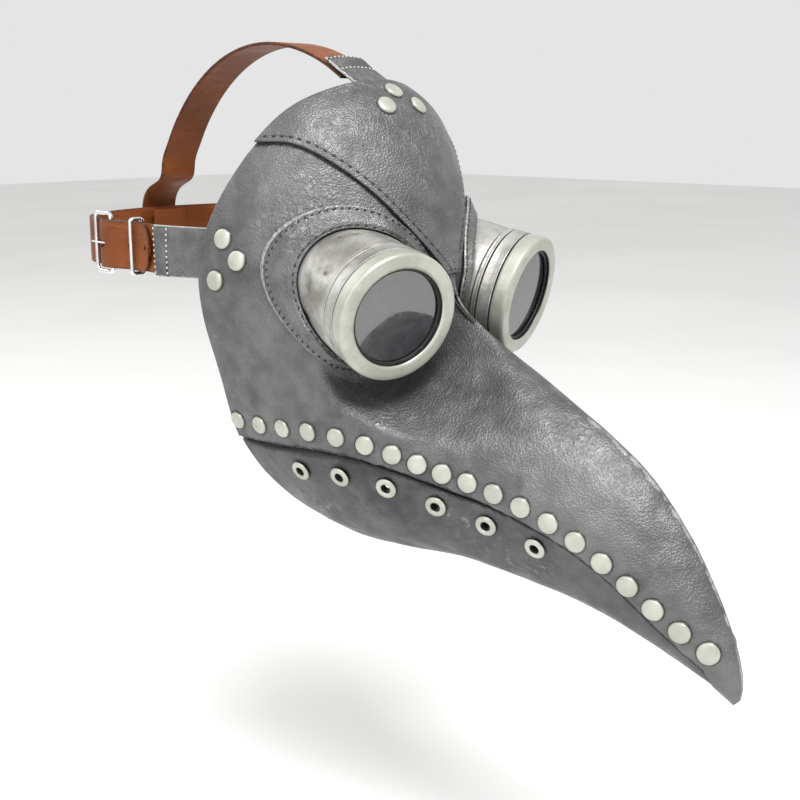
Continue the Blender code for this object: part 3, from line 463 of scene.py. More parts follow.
def sweep(path, radius, sides, closed=True):
    """Points and faces of a round wire along a path, with domed ends if it is open."""
    path = [Vector(point) for point in path]
    count = len(path)
    points = []
    spoke = None
    for i, point in enumerate(path):
        before = path[i - 1] if closed or i else point
        after = path[(i + 1) % count] if closed or i < count - 1 else point
        run = (after - before).normalized()
        if spoke is None:
            spoke = run.orthogonal()
        spoke = (spoke - run * spoke.dot(run)).normalized()
        across = run.cross(spoke)
        size = radius if closed or 0 < i < count - 1 else radius * 0.45
        for k in range(sides):
            angle = math.tau * k / sides
            points.append(point + (spoke * math.cos(angle) + across * math.sin(angle)) * size)
    faces = ring_faces(count, sides, looped=closed)
    return points, faces if closed else faces + end_caps(count, sides)


def join(parts):
    """Several (points, faces) as one."""
    points, faces = [], []
    for more, rings in parts:
        faces += [tuple(k + len(points) for k in face) for face in rings]
        points += list(more)
    return points, faces


def spline_rows(rows, count):
    """Rows of points resampled evenly along a smooth curve through them."""
    rows = np.asarray(rows, float)
    matrix = natural_matrix(len(rows))
    knots = np.linspace(0.0, len(rows) - 1.0, SPLINE_STEPS)
    fine = weights(knots, matrix, False)
    flat = rows.reshape(len(rows), -1)
    middle = (fine @ flat).reshape(SPLINE_STEPS, -1, 3).mean(axis=1)
    length = path_lengths(middle)
    spots = np.interp(np.linspace(0.0, length[-1], count), length, knots)
    return (weights(spots, matrix, False) @ flat).reshape(count, *rows.shape[1:])


def ripple(points, size, amount, seed=0.0):
    """A gentle uneven height for each point, with bumps about size millimetres across."""
    points = np.asarray(points, float)
    flat = points.reshape(-1, 3) / size + seed
    values = [noise.noise(Vector(p)) for p in flat]
    return np.array(values).reshape(points.shape[:-1]) * amount


def run_lengths(points, axis):
    """Distance along a grid from its first border, in one direction."""
    step = np.linalg.norm(np.diff(points, axis=axis), axis=2)
    pad = [(0, 0), (0, 0)]
    pad[axis] = (1, 0)
    return np.cumsum(np.pad(step, pad), axis=axis)


def side_distance(points):
    """Distance of each grid point from the nearer of its two long borders."""
    across = run_lengths(points, 1)
    return np.minimum(across, across[:, -1:] - across)


def border_distance(points, ends=True, sides=True):
    """Distance of each grid point from the nearest border that counts."""
    far = np.full(points.shape[:2], FAR_OFF)
    if ends:
        along = run_lengths(points, 0)
        far = np.minimum(far, along)
    if ends == "both":
        far = np.minimum(far, along[-1:] - along)
    if sides:
        far = np.minimum(far, side_distance(points))
    return far


def edge_drop(distance, thickness):
    """How far the outer face falls, and the inner one rises, near a rounded edge."""
    radius = 0.44 * thickness
    short = np.clip(radius - distance, 0.0, radius)
    return radius - np.sqrt(radius ** 2 - short ** 2)


def shell(outer, inner, keep=None):
    """Faces of a closed shell between two grids: both sides, and a wall round the border."""
    rows, cols = outer.shape[:2]
    under = rows * cols
    faces, paint, edges = [], [], {}
    for i in range(rows - 1):
        for j in range(cols - 1):
            if keep is not None and not keep[i, j]:
                continue
            ring = (i * cols + j, i * cols + j + 1, (i + 1) * cols + j + 1, (i + 1) * cols + j)
            faces += [ring, tuple(under + k for k in reversed(ring))]
            paint += [0, 1]
            for a, b in zip(ring, ring[1:] + ring[:1]):
                key = (min(a, b), max(a, b))
                edges[key] = None if key in edges else (a, b)
    for pair in edges.values():
        if pair:
            a, b = pair
            faces.append((b, a, under + a, under + b))
            paint.append(0)
    points = np.concatenate([outer.reshape(-1, 3), inner.reshape(-1, 3)])
    return points, faces, paint


def shell_marks(wear_and_highlight, grime_and_shade, inside=0.4):
    """Marks for both sides of a shell: its inner side carries less dirt and painted shade."""
    return {"wear_and_highlight": np.concatenate([wear_and_highlight.ravel()] * 2),
            "grime_and_shade": np.concatenate([grime_and_shade.ravel(), inside * grime_and_shade.ravel()])}


def outward_first(points, faces):
    """The same faces, all turned over if they enclose a negative volume."""
    points = np.asarray(points, float)
    total = 0.0
    for face in faces:
        a = points[face[0]]
        for k in range(1, len(face) - 1):
            total += float(np.dot(a, np.cross(points[face[k]], points[face[k + 1]])))
    return faces if total > 0.0 else [tuple(reversed(face)) for face in faces]


# ---------------------------------------------------------------- materials

class Paint:
    """Builds one node material."""

    def __init__(self, name, roughness=0.5, metallic=0.0, **fixed):
        self.material = bpy.data.materials.new(name)
        self.material.use_nodes = True
        self.tree = self.material.node_tree
        self.shader = self.tree.nodes["Principled BSDF"]
        self.shader.inputs["Roughness"].default_value = roughness
        self.shader.inputs["Metallic"].default_value = metallic
        for key, value in fixed.items():
            self.shader.inputs[key.replace("_", " ")].default_value = value
        self.place = self.node("ShaderNodeTexCoord").outputs["Object"]

    def node(self, kind, sockets=(), **settings):
        """A node with its settings, and each (socket, number, colour or link) in place."""
        made = self.tree.nodes.new(kind)
        for key, value in settings.items():
            setattr(made, key, value)
        for key, value in sockets:
            if isinstance(value, bpy.types.NodeSocket):
                self.tree.links.new(value, made.inputs[key])
            else:
                made.inputs[key].default_value = value
        return made

    def stretched(self, scale):
        return self.node("ShaderNodeMapping", (("Scale", scale), ("Vector", self.place))).outputs[0]

    def noise(self, scale, detail=4.0, rough=0.55, twist=0.0, where=None):
        return self.node("ShaderNodeTexNoise", (
            ("Scale", scale), ("Detail", detail), ("Roughness", rough), ("Distortion", twist),
            ("Vector", where or self.place))).outputs["Fac"]

    def cells(self, scale):
        return self.node("ShaderNodeTexVoronoi",
                         (("Scale", scale), ("Vector", self.place))).outputs["Distance"]

    def mark(self, name):
        return self.node("ShaderNodeAttribute", attribute_name=name).outputs["Fac"]

    def ramp(self, value, low, high, to_low=0.0, to_high=1.0):
        return self.node("ShaderNodeMapRange", (
            ("From Min", low), ("From Max", high), ("To Min", to_low), ("To Max", to_high),
            ("Value", value)), interpolation_type="SMOOTHSTEP").outputs["Result"]

    def add(self, a, b):
        return self.node("ShaderNodeMath", ((0, a), (1, b)), operation="ADD").outputs[0]

    def times(self, a, b):
        return self.node("ShaderNodeMath", ((0, a), (1, b)), operation="MULTIPLY").outputs[0]

    def mix(self, factor, a, b):
        colours = [(*c, 1.0) if isinstance(c, tuple) else c for c in (a, b)]
        return self.node("ShaderNodeMix", ((0, factor), (6, colours[0]), (7, colours[1])),
                         data_type="RGBA").outputs[2]

    def bump(self, height, strength, depth, after=None):
        sockets = [("Strength", strength), ("Distance", depth), ("Height", height)]
        if after is not None:
            sockets.append(("Normal", after))
        return self.node("ShaderNodeBump", sockets).outputs["Normal"]

    def finish(self, colour, roughness=None, normal=None):
        for key, value in (("Base Color", colour), ("Roughness", roughness), ("Normal", normal)):
            if value is not None:
                self.tree.links.new(value, self.shader.inputs[key])
        return self.material


def leather_grain(paint, scale, strength):
    """Pebbled grain: small cells broken up by fine noise."""
    pebbles = paint.ramp(paint.cells(scale), 0.1, 0.75)
    fine = paint.noise(scale * 2.2, 6.0, 0.7)
    normal = paint.bump(pebbles, strength, 0.0004)
    return paint.bump(fine, strength * 0.8, 0.0005, normal)


def grey_leather(name, dark, middle, pale):
    """Worn pewter-grey leather: soft mottling, creased patches with painted shade in the creases,
    rubbed edges with a painted highlight on the eye patches' rims, dirt and painted shade in the
    seams.
    """
    paint = Paint(name, metallic=0.45)
    broad = paint.ramp(paint.noise(13.0, 5.0, 0.6), 0.32, 0.68)
    mottle = paint.ramp(paint.noise(75.0, 5.0, 0.6, 0.1), 0.3, 0.72)
    colour = paint.mix(broad, (dark, dark, dark + 0.003), (middle, middle, middle + 0.001))
    colour = paint.mix(paint.times(mottle, 0.5), colour, (pale, pale, pale - 0.003))
    patch = paint.ramp(paint.noise(19.0, 3.0, 0.5), 0.53, 0.68)
    crease = paint.noise(300.0, 3.0, 0.5, 0.35)
    flecks = paint.times(paint.ramp(crease, 0.6, 0.7), patch)
    colour = paint.mix(paint.times(flecks, 0.55), colour, (0.27, 0.27, 0.265))
    # Painted shade in the grooves of the creases.
    crease_shade = paint.times(paint.ramp(crease, 0.4, 0.3), patch)
    colour = paint.mix(paint.times(crease_shade, 0.5), colour, (0.035, 0.035, 0.038))
    ragged = paint.noise(420.0, 6.0, 0.75)
    # Rubbed edges, lightened; on the eye patches' rims this lightening is a painted highlight.
    wear_and_highlight = paint.ramp(paint.add(paint.mark("wear_and_highlight"), ragged), 0.86, 1.2)
    colour = paint.mix(paint.times(wear_and_highlight, 0.75), colour, (0.48, 0.48, 0.46))
    # Dirt and painted shade from the grime_and_shade mark: seam crevices, brow edge, stitch lines,
    # stud feet.
    dirt_and_shade = paint.add(paint.mark("grime_and_shade"), paint.times(ragged, 0.7))
    grime_and_shade = paint.ramp(dirt_and_shade, 0.62, 1.0)
    colour = paint.mix(paint.times(grime_and_shade, 0.93), colour, (0.022, 0.021, 0.023))
    rough = paint.ramp(mottle, 0.0, 1.0, 0.46, 0.3)
    normal = leather_grain(paint, 900.0, 0.45)
    wrinkle = paint.ramp(crease, 0.42, 0.6)
    normal = paint.bump(paint.times(wrinkle, patch), 0.55, 0.0008, normal)
    normal = paint.bump(paint.noise(60.0, 3.0, 0.5), 0.5, 0.0018, normal)
    return paint.finish(colour, rough, normal)


def lining_leather():
    """The fleshy inner side of the panels."""
    paint = Paint("lining_leather")
    blotch = paint.ramp(paint.noise(30.0, 6.0, 0.65), 0.3, 0.7)
    colour = paint.mix(blotch, (0.028, 0.027, 0.028), (0.075, 0.072, 0.07))
    nap = paint.noise(1500.0, 5.0, 0.8, 0.6)
    return paint.finish(colour, paint.ramp(nap, 0.3, 0.7, 0.8, 0.95), paint.bump(nap, 0.6, 0.0005))


def brown_leather():
    """Tan strap leather with a fine grain, darker edges and a few stretched marks."""
    paint = Paint("brown_leather", Specular_IOR_Level=0.22)
    broad = paint.ramp(paint.noise(26.0, 5.0, 0.6), 0.3, 0.7)
    colour = paint.mix(broad, (0.125, 0.031, 0.005), (0.205, 0.055, 0.01))
    streaks = paint.noise(40.0, 6.0, 0.7, 0.3, paint.stretched((1.0, 1.0, 9.0)))
    colour = paint.mix(paint.ramp(streaks, 0.52, 0.72, 0.0, 0.5), colour, (0.27, 0.088, 0.025))
    edge = paint.ramp(paint.add(paint.mark("grime_and_shade"), paint.noise(300.0, 5.0)), 0.75, 1.2)
    colour = paint.mix(edge, colour, (0.05, 0.016, 0.007))
    normal = leather_grain(paint, 1500.0, 0.28)
    normal = paint.bump(paint.noise(120.0, 5.0, 0.6), 0.35, 0.0008, normal)
    return paint.finish(colour, paint.ramp(streaks, 0.3, 0.7, 0.52, 0.38), normal)


def pewter():
    """Aged cast pewter: pale metal with dark patina in its dents and along its grooves."""
    paint = Paint("aged_pewter", metallic=0.55)
    broad = paint.ramp(paint.noise(45.0, 5.0, 0.6, 0.2), 0.34, 0.66)
    colour = paint.mix(broad, (0.22, 0.215, 0.195), (0.46, 0.455, 0.43))
    stain = paint.noise(170.0, 7.0, 0.7, 0.5)
    colour = paint.mix(paint.ramp(stain, 0.55, 0.7, 0.0, 0.5), colour, (0.12, 0.107, 0.083))
    dirt_and_shade = paint.add(paint.mark("grime_and_shade"), paint.times(stain, 0.8))
    colour = paint.mix(paint.ramp(dirt_and_shade, 0.62, 1.15, 0.0, 0.92), colour, (0.045, 0.04, 0.034))
    rough = paint.ramp(stain, 0.35, 0.75, 0.3, 0.6)
    normal = paint.bump(paint.noise(330.0, 7.0, 0.7), 0.3, 0.0006)
    normal = paint.bump(paint.noise(90.0, 3.0), 0.35, 0.0014, normal)
    return paint.finish(colour, rough, normal)


def silver():
    """Cream-tinted satin silver with faint scuffs, dirt and painted shade where it meets other
    parts.
    """
    paint = Paint("cream_silver", metallic=0.35, Coat_Weight=0.15, Coat_Roughness=0.25)
    broad = paint.ramp(paint.noise(60.0, 5.0, 0.6), 0.35, 0.65)
    colour = paint.mix(broad, (0.34, 0.352, 0.298), (0.44, 0.452, 0.388))
    scuff = paint.noise(520.0, 8.0, 0.8, 0.8)
    colour = paint.mix(paint.ramp(scuff, 0.56, 0.72, 0.0, 0.6), colour, (0.2, 0.19, 0.16))
    # Painted shade and dirt from the grime_and_shade mark: stud feet, eyelet holes, the bezel's back
    # and lip.
    dirt_and_shade = paint.add(paint.mark("grime_and_shade"), paint.times(scuff, 0.6))
    colour = paint.mix(paint.ramp(dirt_and_shade, 0.6, 1.1, 0.0, 0.95), colour, (0.03, 0.028, 0.025))
    normal = paint.bump(paint.noise(240.0, 5.0, 0.6), 0.2, 0.0005)
    return paint.finish(colour, paint.ramp(scuff, 0.3, 0.75, 0.27, 0.5), normal)


def steel():
    """Polished wire with fine drawn lines."""
    paint = Paint("bright_steel", metallic=1.0)
    drawn = paint.noise(700.0, 5.0, 0.7, 0.0, paint.stretched((1.0, 1.0, 0.08)))
    colour = paint.mix(paint.ramp(drawn, 0.3, 0.7), (0.7, 0.7, 0.69), (0.9, 0.9, 0.89))
    rough = paint.ramp(drawn, 0.3, 0.7, 0.14, 0.28)
    return paint.finish(colour, rough, paint.bump(drawn, 0.1, 0.0002))


def dark_glass():
    """Smoked lens glass, strongly reflective, with a faint film of dust."""
    paint = Paint("smoked_glass", IOR=2.3)
    dust = paint.noise(160.0, 7.0, 0.7)
    colour = paint.mix(paint.ramp(dust, 0.45, 0.75), (0.018, 0.017, 0.02), (0.05, 0.048, 0.054))
    return paint.finish(colour, paint.ramp(dust, 0.4, 0.8, 0.03, 0.13))


def rubber():
    """Black rubber with dust in its pores."""
    paint = Paint("black_rubber")
    dust = paint.noise(400.0, 6.0, 0.7)
    colour = paint.mix(paint.ramp(dust, 0.4, 0.75), (0.006, 0.006, 0.007), (0.03, 0.03, 0.031))
    return paint.finish(colour, paint.ramp(dust, 0.3, 0.7, 0.45, 0.7), paint.bump(dust, 0.3, 0.0003))


def thread(name, dark, light):
    """Twisted waxed thread."""
    paint = Paint(name)
    twist = paint.noise(2600.0, 4.0, 0.6)
    colour = paint.mix(paint.ramp(twist, 0.35, 0.65), dark, light)
    rough = paint.ramp(twist, 0.3, 0.7, 0.55, 0.75)
    return paint.finish(colour, rough, paint.bump(twist, 0.5, 0.0003))


GREY = grey_leather("grey_leather", 0.058, 0.125, 0.185)
# A darker copy of the grey leather for the lower panel: painted shade for its downward-facing side.
SHADED_JAW_GREY = grey_leather("jaw_leather_shaded", 0.036, 0.078, 0.12)
LINING = lining_leather()
BROWN = brown_leather()
PEWTER = pewter()
SILVER = silver()
STEEL = steel()
GLASS = dark_glass()
RUBBER = rubber()
DARK_THREAD = thread("dark_thread", (0.008, 0.008, 0.009), (0.035, 0.034, 0.034))
PALE_THREAD = thread("pale_thread", (0.36, 0.38, 0.34), (0.62, 0.64, 0.59))


# ---------------------------------------------------------------- leather panels

def eye_place(side):
    """Frame of one eyepiece: local Z out through the lens."""
    x, y, z = EYE_CENTRE
    return frame_at((side * x, y, z), eye_axis(side), UP)


def open_windows(outer, inner):
    """Round holes behind the eyepieces: pulls the points inside each back to its rim."""
    inside = np.zeros(outer.shape[:2], bool)
    for side in (-1, 1):
        axis = eye_axis(side)
        centre = np.array((side * EYE_CENTRE[0], *EYE_CENTRE[1:]))
        hit = np.zeros_like(inside)
        for grid in (outer, inner):
            reach = grid - centre
            ahead = reach @ axis
            across = reach - ahead[..., None] * axis
            radius = np.maximum(np.linalg.norm(across, axis=2), 1e-6)
            rim = centre + ahead[..., None] * axis + across * (WINDOW_R / radius)[..., None]
            near = (radius < WINDOW_R) & (side * grid[..., 0] > 0.0) & (ahead < WINDOW_BEHIND)
            if grid is outer:
                hit = near
            grid[near | hit] = rim[near | hit]
        inside |= hit
    return inside


def closeness(points, places, radius):
    """1 at each place, falling to 0 at the radius."""
    found = np.zeros(points.shape[:-1])
    for place in places:
        away = np.linalg.norm(points - np.asarray(place), axis=-1)
        found = np.maximum(found, 1.0 - smooth(radius * 0.55, radius, away))
    return found


def ragged_seam(s, t):
    """The panel's ring positions with its lower edges torn unevenly in and out."""
    torn = t.copy()
    for sign, cols in ((1.0, slice(t.shape[1] // 2, None)), (-1.0, slice(0, t.shape[1] // 2))):
        tear = np.array([noise.noise(Vector((x * 9.0, sign, 0.5))) * 0.016
                         + noise.noise(Vector((x * 31.0, sign, 4.5))) * 0.011 for x in s])
        tear *= 1.0 - smooth(*TEAR_FADE, s)
        near = np.clip((np.abs(t[:, cols]) - SEAM + 0.4) / 0.4, 0.0, 1.0) ** 2
        torn[:, cols] += sign * near * (tear - 0.012)[:, None]
    return torn


def make_face_panel(spots):
    """The large shell from the temples to the beak's tip. Returns its skin before the windows."""
    s = np.concatenate([RIM, np.linspace(RIM_END, CLOSE_START, FACE_ROWS),
                        np.linspace(CLOSE_START, TIP, FACE_TIP_ROWS)[1:]])
    cavity = np.where(s < CAVITY_START, s, CAVITY_START + (s - CAVITY_START) * CAVITY_RATE)
    half = np.concatenate([np.linspace(0.0, 0.98, FACE_COLUMNS),
                           [0.986, 0.991, 0.995, 0.998, 1.0]])

    def columns(station):
        top, low = face_top(station)[:, None], face_low(station)[:, None]
        one_side = top + (low - top) * half[None, :]
        return np.concatenate([-one_side[:, ::-1], one_side], axis=1)

    t = ragged_seam(s, columns(s))
    base = off_skin(s[:, None], t, 0.0)
    far = border_distance(base)
    tip_fade = 1.0 - smooth(*TIP_FADE, s)[:, None]
    drop = edge_drop(far, FACE_T) * tip_fade
    seam_far = side_distance(base)
    uneven = (ripple(base, 34.0, 0.55) + ripple(base, 11.0, 0.16, 7.0)) * tip_fade
    under_brow = np.abs(np.where(t > KEEL, 2 * KEEL - t, np.abs(t))) < brow_edge(s)[:, None] + 0.12
    uneven = np.where(under_brow & (s[:, None] < BROW_END + 0.1), np.minimum(uneven, 0.0), uneven)
    outer = off_skin(s[:, None], t, uneven - drop)
    inner = off_skin(cavity[:, None], columns(cavity), -FACE_T + drop)
    whole = outer.copy()
    inside = open_windows(outer, inner)

    keep = np.ones((len(s) - 1, t.shape[1] - 1), bool)
    keep[:, len(half) - 1] = s[:-1] >= NOTCH_END
    keep &= ~(inside[:-1, :-1] & inside[1:, :-1] & inside[:-1, 1:] & inside[1:, 1:])

    ridge = np.exp(-(np.abs(t) / 0.3) ** 2) * smooth(*RIDGE_WORN, s)[:, None]
    ridge = ridge * (1.0 + ripple(base, 5.0, 0.7, 2.0))
    wear_and_highlight = np.maximum(0.75 * np.exp(-(border_distance(base, sides=False) / 0.9) ** 2), 0.62 * ridge)
    beside_brow = np.abs(np.abs(t) - brow_edge(s)[:, None]) * RING_MM
    beside_brow = np.where(s[:, None] < BROW_END, beside_brow, FAR_OFF)
    fleck = 1.0 + ripple(base, 2.6, 0.9, 3.0)
    # Painted shade in the seam crevices along the panel's long edges, broken up unevenly.
    grime_and_shade = 0.8 * np.exp(-(seam_far / (1.9 * fleck)) ** 2) * tip_fade
    # Painted shadow cast by the brow panel's edge on to the face panel.
    grime_and_shade = np.maximum(grime_and_shade, 0.7 * np.exp(-(beside_brow / 2.4) ** 2))
    # Painted contact shadow and dirt round each stud and rivet.
    grime_and_shade = np.maximum(grime_and_shade, 0.62 * closeness(base, spots, 8.0))
    points, faces, paint = shell(outer, inner, keep)
    rows, cols = outer.shape[:2]
    last = list(range((rows - 1) * cols, rows * cols))
    centre = outer[-1].mean(axis=0)
    points = np.concatenate([points, [centre]])
    ends = [(a, b, len(points) - 1) for a, b in zip(last, last[1:] + last[:1])]
    faces += ends
    paint += [0] * len(ends)
    marks = shell_marks(wear_and_highlight, grime_and_shade, 0.5)
    marks = {"wear_and_highlight": np.append(marks["wear_and_highlight"], 0.2), "grime_and_shade": np.append(marks["grime_and_shade"], 0.0)}
    make_piece("face_shell", points, faces, [GREY, LINING], ["face_panel"],
               face_paint=paint, marks=marks)
    return whole


def jaw_top(s):
    """Ring position of the jaw panel's hidden upper edge."""
    behind = np.array([below_seam(min(station, CLOSE_START), -JAW_LAP) for station in s])
    return behind + (face_low(s) + 0.02 - behind) * smooth(*JAW_CLOSES, s)


def make_jaw_panel(eyelets):
    """The lower panel, tucked behind the face panel along the seam."""
    s = np.concatenate([RIM, np.linspace(RIM_END, JAW_TIP, JAW_ROWS)])
    top = jaw_top(s)[:, None]
    seam = np.maximum(face_low(s)[:, None], SEAM)
    hidden = top + (seam - top) * np.linspace(0.0, 1.0, JAW_HIDDEN)
    groove = seam + np.array([0.012, 0.025, 0.04, 0.055, 0.075])
    shown = groove[:, -1:] + (KEEL - groove[:, -1:]) * np.linspace(0.0, 1.0, JAW_SHOWN)[None, 1:]
    right = np.concatenate([hidden, groove, shown], axis=1)
    t = np.concatenate([right, 2 * KEEL - right[:, -2::-1]], axis=1)
    folded = np.where(t > KEEL, 2 * KEEL - t, t)
    rise = smooth(0.004, 0.06, folded - seam)
    lift = -FACE_T - JAW_LAP_GAP + (FACE_T + JAW_LAP_GAP - JAW_SUNK) * rise
    base = off_skin(s[:, None], t, lift)
    drop = edge_drop(border_distance(base, "both"), JAW_T)
    uneven = (ripple(base, 30.0, 0.5, 3.0) + ripple(base, 9.0, 0.18, 9.0)) * rise
    thin = JAW_T * (1.0 - 0.5 * smooth(*JAW_THINS, s)[:, None])
    outer = off_skin(s[:, None], t, lift + uneven - drop)
    inner = off_skin(s[:, None], t, lift - thin + drop)
    below = (folded - seam) * 30.0
    fleck = 1.0 + ripple(base, 2.8, 0.8, 6.0)
    band = (2.7 - 1.2 * smooth(5.5, 8.0, s)[:, None]) * fleck
    # Painted shade in a band below the seam, under the face panel's overhanging edge.
    grime_and_shade = 1.05 * np.exp(-(np.maximum(below, 0.0) / band) ** 2) * (s < CLOSE_START)[:, None]
    # Painted contact shadow and dirt round each eyelet.
    grime_and_shade = np.maximum(grime_and_shade, 0.62 * closeness(base, eyelets, 8.6))
    wear_and_highlight = 0.6 * np.exp(-(border_distance(base, sides=False) / 0.8) ** 2)
    points, faces, paint = shell(outer, inner)
    return make_piece("jaw_shell", points, faces, [SHADED_JAW_GREY, LINING],
                      ["jaw_panel"], face_paint=paint, marks=shell_marks(wear_and_highlight, grime_and_shade))


def make_brow_panel(spots):
    """The forehead panel, sewn over the face panel down to the bridge of the nose."""
    s = np.concatenate([RIM, np.linspace(RIM_END, BROW_END - RIM[-1], BROW_ROWS),
                        BROW_END - np.array(RIM[3::-1])])
    edge = np.array([0.0, 0.004, 0.01, 0.018, 0.03])
    across = np.concatenate([edge - 1.0, np.linspace(-0.955, 0.955, BROW_COLUMNS), 1.0 - edge[::-1]])
    t = across[None, :] * brow_edge(s)[:, None]
    low, high = GAP, GAP + BROW_T
    base = off_skin(s[:, None], t, high)
    far = border_distance(base, "both")
    drop = edge_drop(far, BROW_T)
    seam_far = side_distance(base)
    swell = 0.35 * np.exp(-((seam_far - 6.0) / 3.0) ** 2)
    uneven = ripple(base, 36.0, 0.5, 5.0) + ripple(base, 10.0, 0.12, 2.0)
    uneven *= smooth(0.0, 5.0, far)
    outer = off_skin(s[:, None], t, high + uneven + swell * smooth(0.0, 4.0, far) - drop)
    inner = off_skin(s[:, None], t, low + drop)
    stitch = np.exp(-((seam_far - STITCH_IN) / 0.9) ** 2)
    # Painted shade along the stitch groove and at the panel's edges.
    grime_and_shade = np.maximum(0.5 * stitch, 0.55 * np.exp(-(seam_far / 0.8) ** 2))
    # Painted contact shadow and dirt round the crown rivets.
    grime_and_shade = np.maximum(grime_and_shade, 0.62 * closeness(base, spots, 7.4))
    wear_and_highlight = 0.66 * np.exp(-(border_distance(base, sides=False) / 0.8) ** 2)
    crown = np.exp(-(np.abs(t) / 0.14) ** 2) * smooth(2.0, 4.5, s)[:, None]
    wear_and_highlight = np.maximum(wear_and_highlight, 0.3 * crown)
    points, faces, paint = shell(outer, inner)
    make_piece("brow_shell", points, faces, [GREY, LINING], ["brow_panel"],
               face_paint=paint, marks=shell_marks(wear_and_highlight, grime_and_shade))


# ---------------------------------------------------------------- stitches and fasteners

def stitch_row(path, normals, pitch, share=0.52, width=1.15, lift=0.16):
    """Rounded stitches along a path of points, each lying along it."""
    path, normals = np.asarray(path, float), np.asarray(normals, float)
    length = path_lengths(path)
    count = max(int(length[-1] / pitch), 1)
    parts = []
    around, rings = 8, 6
    for k in range(count):
        middle = (k + 0.5) * length[-1] / count
        here, ahead = ([np.interp(middle + d, length, path[:, i]) for i in range(3)]
                       for d in (0.0, 0.4))
        up = [np.interp(middle, length, normals[:, i]) for i in range(3)]
        place = frame_at(here, up, np.subtract(ahead, here))
        points = []
        for a in range(1, rings):
            tilt = math.pi * a / rings
            for b in range(around):
                turn_by = math.tau * b / around
                points.append(place @ Vector((0.5 * width * math.sin(tilt) * math.cos(turn_by),
                                              0.5 * pitch * share * math.cos(tilt),
                                              lift + 0.35 * math.sin(tilt) * math.sin(turn_by))))
        faces = ring_faces(rings - 1, around, looped=False) + end_caps(rings - 1, around)
        parts.append((points, faces))
    return parts


def thread_piece(name, parts, paint=DARK_THREAD):
    points, faces = join(parts)
    make_piece(name, points, outward_first(points, faces), [paint])


def dome(place, radius, rise):
    """A shallow dome with a rolled edge, from its middle out and under."""
    profile = []
    for k in range(9):
        angle = math.radians(90.0 * k / 8)
        profile.append((max(DOME_MIDDLE, radius * math.sin(angle) ** 0.86),
                        0.45 + rise * math.cos(angle) ** 0.8))
    profile += [(radius, 0.3), (radius, 0.16), (radius + 0.4, 0.1), (radius + 0.45, -0.4),
                (radius - 0.3, -0.9), (0.3, -0.9)]
    return disc(place, profile, DOME_SIDES)


def skin_place(s, t, offset):
    """A frame standing on the skin, with local Z outwards."""
    s, t = np.array([s], float), np.array([t], float)
    return frame_at(off_skin(s, t, offset)[0], skin_normal(s, t)[0], (0.13, 0.11, 1.0))


def even_stations(first, last, count, distance, spread=0.0):
    """Stations spaced along the line at a distance below (+) or above (-) the seam.

    They are even, except that spread opens the gaps at the cheek and closes them behind it.
    """
    s = np.linspace(first - 0.1, last + 0.1, 90)
    t = np.array([below_seam(station, distance) for station in s])
    path = skin(s, t)
    length = path_lengths(path)
    ends = np.interp((first, last), s, length)
    f = np.linspace(0.0, 1.0, count)
    f = f + spread * np.exp(-((f - 0.28) / 0.18) ** 2)
    stations = np.interp(ends[0] + (ends[1] - ends[0]) * f, length, s)
    return [(float(station), below_seam(float(station), distance)) for station in stations]


def ring_at_height(station, z):
    """Ring position on the right side of the skin at a height."""
    t = np.linspace(1.0, 5.0, 160)
    heights = skin(np.full_like(t, station), t)[:, 2]
    return float(np.interp(-z, -heights, t))


def dome_marks(points, place, radius):
    """Painted contact shadow and dirt round the foot of a dome."""
    inverse = place.inverted()
    marks = []
    for point in points:
        local = inverse @ Vector(point)
        marks.append(1.0 if local.z < 0.28 else 0.3 if local.xy.length > radius * 0.96 else 0.0)
    return marks


def make_dome_piece(name, place, radius, rise, replaces=()):
    points, faces = dome(place, radius, rise)
    make_piece(name, points, outward_first(points, faces), [SILVER], replaces,
               marks={"grime_and_shade": dome_marks(points, place, radius)})


def make_eyelet(name, place, grip, node):
    """A rolled ring outside, the tube through the leather and a smaller ring inside."""
    hole = EYELET_HOLE_R
    profile = ((hole, 0.1), (hole + 0.35, 1.0), (3.5, 1.35), (4.6, 1.05), (EYELET_R, 0.35),
               (EYELET_R - 0.2, 0.0), (hole + 0.5, 0.0), (hole + 0.5, -grip), (4.2, -grip),
               (4.2, -grip - 0.6), (hole, -grip - 0.6))
    profile = rounded(profile, 0.5, 3)
    points, faces = turn(profile, EYELET_SIDES, place)
    # Painted shade inside the hole and under the flange.
    grime_and_shade = [0.95 if z < 0.05 or r < hole + 0.25 else 0.0 for r, z in profile] * EYELET_SIDES
    make_piece(name, points, outward_first(points, faces), [SILVER], [node],
               marks={"grime_and_shade": grime_and_shade})


# ---------------------------------------------------------------- eyepieces

class Rest:
    """Finds where lines along an eyepiece meet the face shell, as if it had no windows."""

    def __init__(self, grid, place):
        rows, cols = grid.shape[:2]
        faces = [(i * cols + j, i * cols + j + 1, (i + 1) * cols + j + 1, (i + 1) * cols + j)
                 for i in range(rows - 1) for j in range(cols - 1)]
        self.tree = BVHTree.FromPolygons(grid.reshape(-1, 3).tolist(), faces)
        self.place = place
        self.axis = (place.to_3x3() @ Vector((0.0, 0.0, 1.0))).normalized()

    def height(self, radius, angle, lift):
        start = polar(self.place, radius, angle, RAY_START)
        _, normal, _, distance = self.tree.ray_cast(start, -self.axis)
        return RAY_START - distance + lift / max(abs(normal.dot(self.axis)), STEEPEST)


def smooth_round(values, passes):
    """Closed list of heights with its small steps taken out."""
    values = np.asarray(values, float)
    for _ in range(passes):
        values = 0.5 * values + 0.25 * (np.roll(values, 1, axis=0) + np.roll(values, -1, axis=0))
    return values


